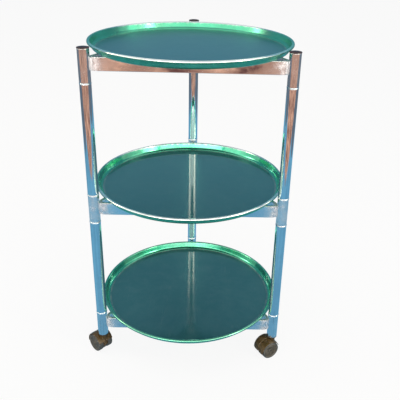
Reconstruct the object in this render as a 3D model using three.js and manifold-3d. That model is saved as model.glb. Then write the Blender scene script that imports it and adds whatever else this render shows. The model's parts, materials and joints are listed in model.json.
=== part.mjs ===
// Rolling salon trolley: three round trays on three tubular legs with twin-wheel casters.
// Millimetres, +Z up, floor at z = 0, the row of the two front legs along X, rear leg at +Y.
import * as THREE from 'three';
import { mergeVertices } from 'three/addons/utils/BufferGeometryUtils.js';
import Module from 'manifold-3d';

const wasm = await Module();
wasm.setup();

// Layout of the legs and tiers
const TRAY_SIDE_PLAY = 6.5; // rim of a tray to the face of a leg
const TIER_PITCH = 284; // one tier to the next
const FRAME_DROP = 19.5; // top of a post to the top of its tier frame
const TOP_FRAME_DROP = 16; // the same on the top posts

// Legs: short posts that carry the tier frames, long tubes between them
const LEG_DIAMETER = 22;
const LEG_WALL = 1.5;
const POST_LENGTH = 58;
const TOP_POST_LENGTH = 62;
const COUPLING_COLLAR_LIP = 0.5; // how far the collar stands proud of the leg
const COUPLING_COLLAR_THICKNESS = 2;
const COUPLING_SPIGOT_LENGTH = 22;
const FOOT_PLUG_SPACING = 6; // coupling to caster socket, inside a lower post
const CAP_LIP = 0.5; // how far the cap stands proud of the leg
const CAP_PLUG_LENGTH = 14;
const CAP_EDGE_THICKNESS = 1.5;
const CAP_DOME_HEIGHT = 1.5;

// Tier frame: one flat bar bent to a triangle with round corners
const FRAME_HEIGHT = 25;
const FRAME_THICKNESS = 6;
const FRAME_CORNER_RADIUS = 12; // outside of the bend

// Tray: round sheet dish with a coved, leaning wall and a rolled bead
const TRAY_DIAMETER = 400;
const TRAY_HEIGHT = 17;
const TRAY_SHEET = 1.2;
const TRAY_FOLD_RADIUS = 10; // inside of the cove between floor and wall
const TRAY_WALL_FLARE = 6; // fold line to the middle of the bead, measured level
const TRAY_BEAD_DIAMETER = 6;

// Caster: hooded body with two wheels on one axle
const WHEEL_DIAMETER = 40;
const CASTER_WIDTH = 35;
const CASTER_TRAIL = 12; // swivel axis to axle, measured level
const SPINE_WIDTH = 11; // wall of the body between the wheels
const SPINE_DIAMETER = 34; // of its round lower part, about the axle
const TYRE_THICKNESS = 3.5;
const TYRE_SHOULDER = 1.5;
const RIM_WALL = 3.4;
const WHEEL_FACE_THICKNESS = 2.5;
const WHEEL_WEB_THICKNESS = 3;
const WHEEL_HUB_DIAMETER = 11;
const AXLE_DIAMETER = 6;
const HOOD_WALL = 1.8;
const NECK_DIAMETER = 15;
const NECK_RISE = 1.2; // top of the neck above the top of the hood
const STEM_DIAMETER = 8;
const STEM_COLLAR_DIAMETER = 13;
const STEM_COLLAR_THICKNESS = 1.2;
const STEM_DEPTH_IN_NECK = 20;
const STEM_END_COVER = 3; // top of the socket above the end of the stem
const SOCKET_FLANGE_THICKNESS = 2;

// Clearances
const SEAT_GAP = 0.3; // between pieces that rest or fit on each other
const BRAZE_GAP = 0.3; // frame corner to post
const WHEEL_SIDE_GAP = 0.5; // wheel to spine, axle end to wheel face
const WHEEL_TOP_GAP = 1.2; // tyre to the inside of the hood
const CUT_OVERRUN = 1; // how far a cutting tool runs past the face it opens

// Directions in degrees, turned from +X towards +Y
const LEGS = [
  { side: 'left', azimuth: 210, casterYaw: 135 },
  { side: 'right', azimuth: 330, casterYaw: 210 },
  { side: 'rear', azimuth: 90, casterYaw: 165 },
];

// Tiers from the bottom up, each with the posts that carry it
const TIERS = [
  { name: 'lower', post: POST_LENGTH, drop: FRAME_DROP },
  { name: 'middle', post: POST_LENGTH, drop: FRAME_DROP },
  { name: 'top', post: TOP_POST_LENGTH, drop: TOP_FRAME_DROP },
];
const CORNER_TURN = 2 * Math.PI / LEGS.length; // angle between two legs
const HOOD_START = THREE.MathUtils.degToRad(-12); // trailing edge of the hood, round the axle
const HOOD_END = THREE.MathUtils.degToRad(158); // leading edge of the hood

// Facets of the round pieces
const LEG_SIDES = 20;
const TRAY_SIDES = 60;
const WHEEL_SIDES = 24;
const PIN_SIDES = 16;
const BEND_STEPS = 6;
const BEAD_STEPS = 9;
const FOLD_STEPS = 5;
const HOOD_STEPS = 20;

// Sizes that follow from the values above
const legRadius = LEG_DIAMETER / 2;
const legCircleRadius = TRAY_DIAMETER / 2 + TRAY_SIDE_PLAY + legRadius; // trolley axis to leg axis
const legBoreRadius = legRadius - LEG_WALL;
const plugRadius = legBoreRadius - SEAT_GAP;
const tubeLength = TIER_PITCH - POST_LENGTH - 2 * COUPLING_COLLAR_THICKNESS;
const wheelRadius = WHEEL_DIAMETER / 2;
const hoodInnerRadius = wheelRadius + WHEEL_TOP_GAP;
const hoodOuterRadius = hoodInnerRadius + HOOD_WALL;
const neckTop = wheelRadius + hoodOuterRadius + NECK_RISE;
const stemCollarBottom = neckTop + SEAT_GAP;
const socketBottom = stemCollarBottom + STEM_COLLAR_THICKNESS + SEAT_GAP;
const legFoot = socketBottom + SOCKET_FLANGE_THICKNESS;
const socketTop = legFoot + POST_LENGTH - COUPLING_SPIGOT_LENGTH - FOOT_PLUG_SPACING;
const wheelWidth = CASTER_WIDTH / 2 - SPINE_WIDTH / 2 - WHEEL_SIDE_GAP;

/** Finishes, one material for each kind of piece. */
function finish(color, roughness, metalness) {
  return new THREE.MeshStandardMaterial({ color, roughness, metalness });
}

const FINISHES = {
  chrome: finish(0x9fc0d2, 0.12, 1.0),
  collar: finish(0xd6dee2, 0.22, 1.0),
  tray: finish(0x1f6b54, 0.28, 0.75),
  cap: finish(0x2a1414, 0.45, 0.0),
  socket: finish(0x1c1714, 0.55, 0.0),
  steel: finish(0xb4b6b8, 0.35, 1.0),
  hood: finish(0x3d2811, 0.35, 0.0),
  wheel: finish(0x7a6248, 0.45, 0.0),
  tyre: finish(0x4a4a46, 0.7, 0.0),
};

/** One named piece of the trolley. */
function piece(name, geometry, material) {
  const mesh = new THREE.Mesh(geometry, material);
  mesh.name = name;
  return mesh;
}

/** Points of an arc about (cx, cy), from angle start to angle end, both ends included. */
function arcPoints(cx, cy, radius, start, end, steps) {
  const points = [];
  for (let i = 0; i <= steps; i += 1) {
    const angle = start + (end - start) * i / steps;
    points.push([cx + radius * Math.cos(angle), cy + radius * Math.sin(angle)]);
  }
  return points;
}

/** Solid of revolution about +Z from a list of [radius, height] points. */
function turned(profile, sides) {
  const points = profile.map(([radius, height]) => new THREE.Vector2(radius, height));
  const geometry = new THREE.LatheGeometry(points, sides);
  geometry.rotateX(Math.PI / 2);
  return mergeVertices(geometry.deleteAttribute('normal').deleteAttribute('uv'));
}

/** Straight tube about +Z, from the height bottom to the height top. */
function tube(outer, inner, bottom, top, sides) {
  return turned([
    [inner, bottom], [outer, bottom], [outer, top], [inner, top], [inner, bottom],
  ], sides);
}

/** Closed shell of a geometry in the form that the boolean library takes. */
function toSolid(geometry) {
  geometry.deleteAttribute('normal');
  geometry.deleteAttribute('uv');
  const merged = mergeVertices(geometry);
  return new wasm.Manifold(new wasm.Mesh({
    numProp: 3,
    vertProperties: new Float32Array(merged.attributes.position.array),
    triVerts: new Uint32Array(merged.index.array),
  }));
}

/** Geometry of a boolean result. */
function toGeometry(solid) {
  const mesh = solid.getMesh();
  const geometry = new THREE.BufferGeometry();
  geometry.setAttribute('position', new THREE.BufferAttribute(mesh.vertProperties, 3));
  geometry.setIndex(new THREE.BufferAttribute(mesh.triVerts, 1));
  return geometry;
}

/** Post or long tube of a leg. */
function legSection(name, bottom, length) {
  const shape = tube(legRadius, legBoreRadius, bottom, bottom + length, LEG_SIDES);
  return piece(name, shape, FINISHES.chrome);
}

/** Double-ended plug with a thin collar, which joins a post to a long tube. */
function coupling(name, collarBottom) {
  const collarTop = collarBottom + COUPLING_COLLAR_THICKNESS;
  const collarRadius = legRadius + COUPLING_COLLAR_LIP;
  const profile = [
    [0, collarBottom - COUPLING_SPIGOT_LENGTH],
    [plugRadius, collarBottom - COUPLING_SPIGOT_LENGTH],
    [plugRadius, collarBottom],
    [collarRadius, collarBottom],
    [collarRadius, collarTop],
    [plugRadius, collarTop],
    [plugRadius, collarTop + COUPLING_SPIGOT_LENGTH],
    [0, collarTop + COUPLING_SPIGOT_LENGTH],
  ];
  return piece(name, turned(profile, LEG_SIDES), FINISHES.collar);
}

/** Domed plug that closes the top of a leg. */
function legCap(name, seat) {
  const capRadius = legRadius + CAP_LIP;
  const domeShoulderShare = 0.7; // of the cap's radius, where the dome starts to fall
  const shoulderRiseShare = 0.6; // of the dome's height, at that shoulder
  const profile = [
    [0, seat - CAP_PLUG_LENGTH],
    [plugRadius, seat - CAP_PLUG_LENGTH],
    [plugRadius, seat],
    [capRadius, seat],
    [capRadius, seat + CAP_EDGE_THICKNESS],
    [capRadius * domeShoulderShare, seat + CAP_EDGE_THICKNESS + CAP_DOME_HEIGHT * shoulderRiseShare],
    [0, seat + CAP_EDGE_THICKNESS + CAP_DOME_HEIGHT],
  ];
  return piece(name, turned(profile, LEG_SIDES), FINISHES.cap);
}

/** Height of the underside of a tier's posts; the tier counts from 0 at the bottom. */
function postBottom(tier) {
  return legFoot + tier * TIER_PITCH;
}

/** Height of the top of a tier's frame. */
function frameTop(tier) {
  return postBottom(tier) + TIERS[tier].post - TIERS[tier].drop;
}

/** Everything of one leg that stands on its own axis, from the foot to the cap. */
function leg(side) {
  const group = new THREE.Group();
  TIERS.forEach(({ name, post }, tier) => {
    const bottom = postBottom(tier);
    const top = bottom + post;
    group.add(legSection(`${name}_post_${side}`, bottom, post));
    if (tier < TIERS.length - 1) {
      const above = TIERS[tier + 1].name;
      const tubeBottom = top + COUPLING_COLLAR_THICKNESS;
      group.add(coupling(`coupling_over_${name}_post_${side}`, top));
      group.add(legSection(`tube_${name}_to_${above}_${side}`, tubeBottom, tubeLength));
      group.add(coupling(`coupling_under_${above}_post_${side}`, tubeBottom + tubeLength));
    } else {
      group.add(legCap(`leg_cap_${side}`, top));
    }
  });
  return group;
}

/** Round-cornered triangle whose corners point at the legs. */
function triangle(PathClass, cornerRadius) {
  const cornerCentre = legCircleRadius - legRadius - BRAZE_GAP - FRAME_CORNER_RADIUS;
  const path = new PathClass();
  for (const { azimuth } of [...LEGS].sort((a, b) => a.azimuth - b.azimuth)) {
    const angle = THREE.MathUtils.degToRad(azimuth);
    path.absarc(
      cornerCentre * Math.cos(angle),
      cornerCentre * Math.sin(angle),
      cornerRadius,
      angle - CORNER_TURN / 2,
      angle + CORNER_TURN / 2,
      false,
    );
  }
  path.closePath();
  return path;
}

/** Tier frame: the bent flat bar that the tray rests on. */
function tierFrame(name, tier) {
  const outline = triangle(THREE.Shape, FRAME_CORNER_RADIUS);
  outline.holes.push(triangle(THREE.Path, FRAME_CORNER_RADIUS - FRAME_THICKNESS));
  const geometry = new THREE.ExtrudeGeometry(outline, {
    depth: FRAME_HEIGHT,
    bevelEnabled: false,
    curveSegments: BEND_STEPS,
  });
  const frame = piece(`${name}_tier_frame`, geometry, FINISHES.chrome);
  frame.position.z = frameTop(tier) - FRAME_HEIGHT;
  return frame;
}

/** Tray profile: floor, cove, leaning wall and bead, round the middle line of the sheet. */
function trayProfile() {
  const half = TRAY_SHEET / 2;
  const beadRadius = TRAY_BEAD_DIAMETER / 2;
  const beadX = TRAY_DIAMETER / 2 - beadRadius;
  const beadZ = TRAY_HEIGHT - beadRadius;
  const footX = beadX - TRAY_WALL_FLARE;
  const lean = Math.atan2(beadZ - half, TRAY_WALL_FLARE);
  const bend = TRAY_FOLD_RADIUS + half;
  const bendX = footX - bend * Math.tan(lean / 2);
  const bendZ = half + bend;
  const down = -Math.PI / 2;
  const seam = Math.asin(half / beadRadius);
  const beadStart = lean + Math.PI + seam;
  const beadEnd = lean + 3 * Math.PI - seam;
  return [
    [0, 0],
    ...arcPoints(bendX, bendZ, bend + half, down, down + lean, FOLD_STEPS),
    ...arcPoints(beadX, beadZ, beadRadius, beadStart, beadEnd, BEAD_STEPS),
    ...arcPoints(bendX, bendZ, bend - half, down + lean, down, FOLD_STEPS),
    [0, TRAY_SHEET],
  ];
}

/** Loose tray, resting on its tier frame between the legs. */
function tray(name, tier) {
  const dish = piece(`${name}_tray`, turned(trayProfile(), TRAY_SIDES), FINISHES.tray);
  dish.position.z = frameTop(tier) + SEAT_GAP;
  return dish;
}

/** Insert in the foot of a leg, with the hole for the caster's stem. */
function casterSocket(name) {
  const bore = STEM_DIAMETER / 2 + SEAT_GAP;
  const profile = [
    [bore, socketBottom],
    [legRadius, socketBottom],
    [legRadius, legFoot],
    [plugRadius, legFoot],
    [plugRadius, socketTop],
    [bore, socketTop],
    [bore, socketBottom],
  ];
  return piece(name, turned(profile, LEG_SIDES), FINISHES.socket);
}

/** Steel stem: its collar takes the load, and the caster turns round its lower end. */
function casterStem(name) {
  const radius = STEM_DIAMETER / 2;
  const collarRadius = STEM_COLLAR_DIAMETER / 2;
  const bottom = neckTop - STEM_DEPTH_IN_NECK;
  const collarTop = stemCollarBottom + STEM_COLLAR_THICKNESS;
  const profile = [
    [0, bottom],
    [radius, bottom],
    [radius, stemCollarBottom],
    [collarRadius, stemCollarBottom],
    [collarRadius, collarTop],
    [radius, collarTop],
    [radius, socketTop - STEM_END_COVER],
    [0, socketTop - STEM_END_COVER],
  ];
  return piece(name, turned(profile, PIN_SIDES), FINISHES.steel);
}

/** Turns a solid of revolution about +Z so that it lies along Y, centred on the axle. */
function alongAxle(geometry) {
  geometry.rotateX(-Math.PI / 2);
  geometry.translate(CASTER_TRAIL, 0, wheelRadius);
  return geometry;
}

/** Cylinder along the axle, from one distance to another along Y. */
function axleCylinder(radius, from, to, sides) {
  return alongAxle(turned([[0, from], [radius, from], [radius, to], [0, to]], sides));
}

/** Caster body: a hood over both wheels, the spine between them and the neck for the stem. */
function casterHood(name) {
  const outline = new THREE.Shape();
  outline.absarc(CASTER_TRAIL, wheelRadius, hoodOuterRadius, HOOD_START, HOOD_END, false);
  outline.absarc(
    CASTER_TRAIL,
    wheelRadius,
    SPINE_DIAMETER / 2,
    HOOD_END,
    HOOD_START + 2 * Math.PI,
    false,
  );
  outline.closePath();
  const block = new THREE.ExtrudeGeometry(outline, {
    depth: CASTER_WIDTH,
    bevelEnabled: false,
    curveSegments: HOOD_STEPS,
  });
  block.translate(0, 0, -CASTER_WIDTH / 2);
  block.rotateX(Math.PI / 2);

  const neck = turned([
    [0, wheelRadius], [NECK_DIAMETER / 2, wheelRadius], [NECK_DIAMETER / 2, neckTop], [0, neckTop],
  ], PIN_SIDES);
  const stemBottom = neckTop - STEM_DEPTH_IN_NECK - SEAT_GAP;
  const stemBore = STEM_DIAMETER / 2 + SEAT_GAP;
  const stemHole = turned([
    [0, stemBottom], [stemBore, stemBottom], [stemBore, neckTop + CUT_OVERRUN],
    [0, neckTop + CUT_OVERRUN],
  ], PIN_SIDES);
  const axleBore = AXLE_DIAMETER / 2 + SEAT_GAP;
  const spineSide = SPINE_WIDTH / 2;
  const wellEnd = CASTER_WIDTH / 2 + CUT_OVERRUN;

  let body = toSolid(block).add(toSolid(neck));
  for (const [from, to] of [[spineSide, wellEnd], [-wellEnd, -spineSide]]) {
    body = body.subtract(toSolid(axleCylinder(hoodInnerRadius, from, to, WHEEL_SIDES)));
  }
  body = body.subtract(toSolid(stemHole));
  body = body.subtract(toSolid(axleCylinder(axleBore, -wellEnd, wellEnd, PIN_SIDES)));
  return piece(name, toGeometry(body), FINISHES.hood);
}

/** Axle pin, seated in the spine and in the blind hubs of both wheels. */
function casterAxle(name) {
  const end = CASTER_WIDTH / 2 - WHEEL_FACE_THICKNESS - WHEEL_SIDE_GAP;
  return piece(name, axleCylinder(AXLE_DIAMETER / 2, -end, end, PIN_SIDES), FINISHES.steel);
}

/** Wheel and its tyre; the profiles run inwards from the outer face, at depth 0. */
function wheelPair(letter, side, mirrored) {
  const seatRadius = wheelRadius - TYRE_THICKNESS;
  const dishRadius = seatRadius - RIM_WALL;
  const hubRadius = WHEEL_HUB_DIAMETER / 2;
  const boreRadius = AXLE_DIAMETER / 2 + SEAT_GAP;
  const web = WHEEL_WEB_THICKNESS;
  const core = [
    [0, 0], [seatRadius, 0], [seatRadius, wheelWidth], [dishRadius, wheelWidth],
    [dishRadius, web], [hubRadius, web], [hubRadius, wheelWidth], [boreRadius, wheelWidth],
    [boreRadius, WHEEL_FACE_THICKNESS], [0, WHEEL_FACE_THICKNESS],
  ];
  // The tread's flats touch the true rolling circle, so that one of them lies on the floor
  const treadRadius = wheelRadius / Math.cos(Math.PI / WHEEL_SIDES);
  const tyreBore = seatRadius + SEAT_GAP;
  const shoulder = treadRadius - TYRE_SHOULDER;
  const tyre = [
    [tyreBore, 0], [shoulder, 0], [treadRadius, TYRE_SHOULDER],
    [treadRadius, wheelWidth - TYRE_SHOULDER], [shoulder, wheelWidth], [tyreBore, wheelWidth],
    [tyreBore, 0],
  ];
  const outerFace = CASTER_WIDTH / 2;
  return [['wheel', core], ['tyre', tyre]].map(([kind, profile]) => {
    const geometry = turned(profile, WHEEL_SIDES);
    geometry.rotateZ(Math.PI / WHEEL_SIDES);
    if (mirrored) {
      geometry.rotateX(Math.PI);
      geometry.translate(0, 0, outerFace);
    } else {
      geometry.translate(0, 0, -outerFace);
    }
    return piece(`${kind}_${letter}_${side}`, alongAxle(geometry), FINISHES[kind]);
  });
}

/** One caster: socket and stem stay with the leg, the rest swivels. */
function caster(side, yaw) {
  const group = new THREE.Group();
  const swivel = new THREE.Group();
  swivel.rotation.z = yaw;
  swivel.add(casterHood(`caster_hood_${side}`));
  swivel.add(casterAxle(`caster_axle_${side}`));
  swivel.add(...wheelPair('a', side, false));
  swivel.add(...wheelPair('b', side, true));
  group.add(casterSocket(`caster_socket_${side}`));
  group.add(casterStem(`caster_stem_${side}`));
  group.add(swivel);
  return group;
}

const trolley = new THREE.Group();
for (const { side, azimuth, casterYaw } of LEGS) {
  const angle = THREE.MathUtils.degToRad(azimuth);
  const stand = new THREE.Group();
  stand.position.set(legCircleRadius * Math.cos(angle), legCircleRadius * Math.sin(angle), 0);
  stand.add(leg(side), caster(side, THREE.MathUtils.degToRad(casterYaw)));
  trolley.add(stand);
}
TIERS.forEach(({ name }, tier) => {
  trolley.add(tierFrame(name, tier), tray(name, tier));
});

// The origin is the middle of the footprint, on the floor
const bounds = new THREE.Box3().setFromObject(trolley);
const middle = bounds.getCenter(new THREE.Vector3());
trolley.position.set(-middle.x, -middle.y, -bounds.min.z);

export default trolley;
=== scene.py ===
"""Looks, light and camera of a rolling trolley with three round trays.

Metres, +Z up, floor at z = 0, +X along the row of the two front legs, +Y from the front legs to the
rear leg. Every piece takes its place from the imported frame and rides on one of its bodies.
"""
import json
import logging
import math
from collections.abc import Callable, Iterable, Sequence
from dataclasses import dataclass, field
from enum import Enum

import bmesh
import bpy
from mathutils import Matrix, Vector


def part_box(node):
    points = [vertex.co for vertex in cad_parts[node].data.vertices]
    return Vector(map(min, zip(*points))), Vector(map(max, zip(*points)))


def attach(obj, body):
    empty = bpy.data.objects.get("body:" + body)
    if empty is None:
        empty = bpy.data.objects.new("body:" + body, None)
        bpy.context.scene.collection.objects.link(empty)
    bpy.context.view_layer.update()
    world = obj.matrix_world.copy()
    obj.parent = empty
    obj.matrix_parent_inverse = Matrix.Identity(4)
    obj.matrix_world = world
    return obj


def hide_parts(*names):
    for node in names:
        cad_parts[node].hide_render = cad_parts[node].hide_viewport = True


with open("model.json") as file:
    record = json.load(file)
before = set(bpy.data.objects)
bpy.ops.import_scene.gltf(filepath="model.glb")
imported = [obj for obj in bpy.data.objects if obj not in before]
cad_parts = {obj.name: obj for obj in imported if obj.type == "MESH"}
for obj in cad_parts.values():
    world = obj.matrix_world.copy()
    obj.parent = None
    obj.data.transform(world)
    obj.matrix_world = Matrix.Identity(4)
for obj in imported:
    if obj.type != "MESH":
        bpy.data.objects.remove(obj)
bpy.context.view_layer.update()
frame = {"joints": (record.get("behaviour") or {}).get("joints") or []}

MM = 0.001
FULL_TURN = 2 * math.pi
STAND = "stand"

log = logging.getLogger("trolley")

Point = tuple[float, float]
Place = tuple[float, float, float]
Colour = tuple[float, float, float]
Piece = bpy.types.Object
Placement = Callable[[float, float, float], Vector]
Socket = bpy.types.NodeSocket
Sockets = bpy.types.bpy_prop_collection

FULL_RANGE: Point = (0.0, 1.0)


class Slot(Enum):
    """Material slots of the record."""

    CHROME = "chrome"
    COLLAR = "collar"
    TRAY = "tray"
    CAP = "cap"
    SOCKET = "socket"
    STEEL = "steel"
    HOOD = "hood"
    WHEEL = "wheel"
    TYRE = "tyre"


class Side(Enum):
    """Legs, named as seen from the front."""

    LEFT = "left"
    RIGHT = "right"
    REAR = "rear"


class Tier(Enum):
    """Tiers from the bottom up."""

    LOWER = "lower"
    MIDDLE = "middle"
    TOP = "top"


class WheelPlace(Enum):
    """The two wheels of a caster, and the way along the axle to each one's outer face."""

    A = ("a", -1.0)
    B = ("b", 1.0)

    def __init__(self, letter: str, outward: float) -> None:
        """Keeps the letter in the node's name and the sign of the outward direction.

        Args:
            letter: the wheel's letter in its node's name.
            outward: -1 or 1, along the axle.
        """
        self.letter = letter
        self.outward = outward


@dataclass(frozen=True)
class Corner:
    """Corner of an outline.

    Args:
        x: first coordinate, which is the radius in a turned profile.
        y: second coordinate, which is the height in a turned profile.
        radius: radius that the corner is rounded to.
    """

    x: float
    y: float
    radius: float = 0.0


@dataclass(frozen=True)
class Box:
    """Box of a CAD node at rest.

    Args:
        low: lowest corner.
        high: highest corner.
    """

    low: Vector
    high: Vector

    @classmethod
    def of(cls, node: str) -> "Box":
        """Box of one node of the frame.

        Args:
            node: name of the CAD node.

        Returns:
            The node's box.
        """
        return cls(*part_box(node))

    @property
    def axis(self) -> Vector:
        """Middle of the box, on the floor."""
        return Vector(((self.low.x + self.high.x) / 2, (self.low.y + self.high.y) / 2, 0))

    @property
    def radius(self) -> float:
        """Radius of an upright turned node."""
        return (self.high.x - self.low.x) / 2


class Outline:
    """Points of outlines with rounded corners and of circular arcs."""

    ARC_STEPS = 5
    GUARD = 0.8 * MM
    MOST_ROOM_SHARE = 0.45
    GUARD_ROOM_SHARE = 0.5

    @classmethod
    def rounded(cls, corners: Sequence[Corner], closed: bool = False) -> list[Point]:
        """Rounds the corners, and keeps a point close to each end of a rounding.

        Args:
            corners: corners in order.
            closed: whether the last corner joins the first.

        Returns:
            The points of the outline.
        """
        points: list[Point] = []
        count = len(corners)
        for index, corner in enumerate(corners):
            here = Vector((corner.x, corner.y))
            if corner.radius <= 0 or (not closed and index in (0, count - 1)):
                points.append((here.x, here.y))
                continue
            before, after = corners[index - 1], corners[(index + 1) % count]
            back = Vector((before.x, before.y)) - here
            ahead = Vector((after.x, after.y)) - here
            points.extend(cls._rounding(here, back, ahead, corner.radius))
        return points

    @classmethod
    def _rounding(cls, here: Vector, back: Vector, ahead: Vector, radius: float) -> list[Point]:
        """Arc that rounds one corner, with its two guard points.

        Args:
            here: the corner.
            back: way from the corner to the one before it.
            ahead: way from the corner to the next one.
            radius: radius of the arc.

        Returns:
            The points that take the corner's place.
        """
        half = back.angle(ahead) / 2
        room = cls.MOST_ROOM_SHARE * min(back.length, ahead.length)
        tangent = min(radius / math.tan(half), room)
        radius = tangent * math.tan(half)
        to_back, to_ahead = back.normalized(), ahead.normalized()
        centre = here + (to_back + to_ahead).normalized() * (radius / math.sin(half))
        start = here + to_back * tangent - centre
        end = here + to_ahead * tangent - centre
        turn = start.angle_signed(end)
        angles = [-turn * i / cls.ARC_STEPS for i in range(cls.ARC_STEPS + 1)]
        arc = [centre + Matrix.Rotation(angle, 2) @ start for angle in angles]
        guard = tangent + cls.GUARD
        if guard < cls.GUARD_ROOM_SHARE * back.length:
            arc.insert(0, here + to_back * guard)
        if guard < cls.GUARD_ROOM_SHARE * ahead.length:
            arc.append(here + to_ahead * guard)
        return [(p.x, p.y) for p in arc]

    @staticmethod
    def arc(centre: Point, radius: float, start: float, end: float, steps: int) -> list[Point]:
        """Points of an arc, both ends included.

        Args:
            centre: centre of the circle.
            radius: radius of the circle.
            start: first angle, in radians.
            end: last angle, in radians.
            steps: steps between the two.

        Returns:
            The points of the arc.
        """
        angles = (start + (end - start) * i / steps for i in range(steps + 1))
        return [(centre[0] + radius * math.cos(a), centre[1] + radius * math.sin(a)) for a in angles]


class Form:
    """Makes mesh objects, and finishes their normals and their wear mask."""

    SOFTEST_EDGE = 2.4 * MM
    SHARPEST_EDGE = 0.6 * MM
    WEAR_MASK = "edge"
    SHARP_ANGLE = math.radians(50)
    NARROWEST_FACE = 0.1 * MM
    ON_AXIS = 1e-9

    @classmethod
    def from_faces(cls, name: str, vertices: Sequence[Vector],
                   faces: Sequence[Sequence[int]]) -> Piece:
        """Object made of vertices and faces.

        Args:
            name: name of the piece.
            vertices: places of the vertices.
            faces: vertex numbers of each face.

        Returns:
            The new object.
        """
        mesh = bpy.data.meshes.new(name)
        mesh.from_pydata([tuple(v) for v in vertices], [], [tuple(f) for f in faces])
        piece = bpy.data.objects.new(name, mesh)
        bpy.context.scene.collection.objects.link(piece)
        return cls.finished(piece)

    @classmethod
    def finished(cls, piece: Piece) -> Piece:
        """Turns faces outward, shades smooth and writes the wear mask.

        Args:
            piece: object with its final mesh.

        Returns:
            The same object.
        """
        mesh = piece.data
        sculpt = bmesh.new()
        sculpt.from_mesh(mesh)
        bmesh.ops.recalc_face_normals(sculpt, faces=sculpt.faces)
        masks = [cls._wear(vertex) for vertex in sculpt.verts]
        sculpt.to_mesh(mesh)
        sculpt.free()
        attribute = mesh.attributes.new(cls.WEAR_MASK, "FLOAT", "POINT")
        attribute.data.foreach_set("value", masks)
        mesh.shade_smooth()
        mesh.set_sharp_from_angle(angle=cls.SHARP_ANGLE)
        weighted = piece.modifiers.new("face weighted normals", "WEIGHTED_NORMAL")
        weighted.keep_sharp = True
        return piece

    @staticmethod
    def mark(piece: Piece, name: str, values: Sequence[float]) -> None:
        """Writes a mask for the finish to read.

        Args:
            piece: object with its final mesh.
            name: name of the mask.
            values: value at each vertex, from 0 to 1.
        """
        mask = piece.data.attributes.new(name, "FLOAT", "POINT")
        mask.data.foreach_set("value", values)

    @classmethod
    def _wear(cls, vertex: bmesh.types.BMVert) -> float:
        """Share of wear at a vertex, from how tightly the surface bends outward there.

        Args:
            vertex: vertex of the mesh.

        Returns:
            0 on gentle shapes and in hollows, up to 1 on the sharpest edges.
        """
        bend = 0.0
        for edge in vertex.link_edges:
            if len(edge.link_faces) != 2:
                continue
            angle = edge.calc_face_angle_signed(0.0)
            first, second = (face.calc_center_median() for face in edge.link_faces)
            width = 2 * min(cls._distance(edge, first), cls._distance(edge, second))
            bend = max(bend, angle / max(width, cls.NARROWEST_FACE))
        gentle, sharp = 1 / cls.SOFTEST_EDGE, 1 / cls.SHARPEST_EDGE
        return min(max((bend - gentle) / (sharp - gentle), 0.0), 1.0)

    @staticmethod
    def _distance(edge: bmesh.types.BMEdge, point: Vector) -> float:
        """Distance of a point from the line of an edge.

        Args:
            edge: edge of the mesh.
            point: point beside it.

        Returns:
            The distance.
        """
        start, end = (v.co for v in edge.verts)
        along = (end - start).normalized()
        return (point - start).cross(along).length

    @classmethod
    def turned(cls, name: str, profile: Sequence[Point], place: Placement,
               segments: int, closed: bool = False) -> Piece:
        """Solid of revolution.

        Args:
            name: name of the piece.
            profile: points as (radius, height), from one end of the axis to the other, or round a ring.
            place: gives the place of a point from its radius, angle and height.
            segments: faces round the axis.
            closed: whether the profile is a ring that closes on itself.

        Returns:
            The new object.
        """
        vertices: list[Vector] = []
        rings: list[list[int]] = []
        for radius, height in profile:
            on_axis = abs(radius) < cls.ON_AXIS
            angles = [0.0] if on_axis else [FULL_TURN * i / segments for i in range(segments)]
            rings.append([len(vertices) + i for i in range(len(angles))])
            vertices.extend(place(radius, angle, height) for angle in angles)
        pairs = list(zip(rings, rings[1:] + rings[:1] if closed else rings[1:]))
        faces = [face for lower, upper in pairs for face in cls._band(lower, upper, segments)]
        return cls.from_faces(name, vertices, faces)

    @staticmethod
    def _band(lower: Sequence[int], upper: Sequence[int], segments: int) -> list[tuple[int, ...]]:
        """Faces between two rings, either of which may be one point on the axis.

        Args:
            lower: vertex numbers of the first ring.
            upper: vertex numbers of the second ring.
            segments: faces round the axis.

        Returns:
            The faces of the band.
        """
        faces: list[tuple[int, ...]] = []
        for i in range(segments):
            j = (i + 1) % segments
            if len(lower) == 1:
                faces.append((lower[0], upper[j], upper[i]))
            elif len(upper) == 1:
                faces.append((lower[i], lower[j], upper[0]))
            else:
                faces.append((lower[i], lower[j], upper[j], upper[i]))
        return faces

    @classmethod
    def swept(cls, name: str, sections: Sequence[Sequence[Vector]], looped: bool) -> Piece:
        """Skin over a row of closed sections with the same number of points.

        Args:
            name: name of the piece.
            sections: points of each section, in order along the sweep.
            looped: whether the last section joins the first, instead of both being capped.

        Returns:
            The new object.
        """
        count = len(sections[0])
        vertices = [point for section in sections for point in section]
        rows = [[s * count + i for i in range(count)] for s in range(len(sections))]
        pairs = list(zip(rows, rows[1:] + rows[:1] if looped else rows[1:]))
        faces = [face for lower, upper in pairs for face in cls._band(lower, upper, count)]
        if not looped:
            faces += [tuple(rows[0]), tuple(reversed(rows[-1]))]
        return cls.from_faces(name, vertices, faces)

    @staticmethod
    def upright(axis: Vector) -> Placement:
        """Placement of turned pieces about a vertical axis.

        Args:
            axis: point of the axis, whose height is added.

        Returns:
            Function from radius, angle and height to a place.
        """
        def place(radius: float, angle: float, height: float) -> Vector:
            """Place of one point of the turned piece."""
            return axis + Vector((radius * math.cos(angle), radius * math.sin(angle), height))
        return place


@dataclass(frozen=True)
class Cloud:
    """Noise that is cut to a soft-edged mask.

    Args:
        cut: noise values where the mask starts and where it is full.
        scale: waves in a metre.
        detail: octaves.
        roughness: weight of the fine octaves.
        shares: mask values at the two ends of the cut.
    """

    cut: Point
    scale: float = 1.0
    detail: float = 2.0
    roughness: float = 0.5
    shares: Point = FULL_RANGE


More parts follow.
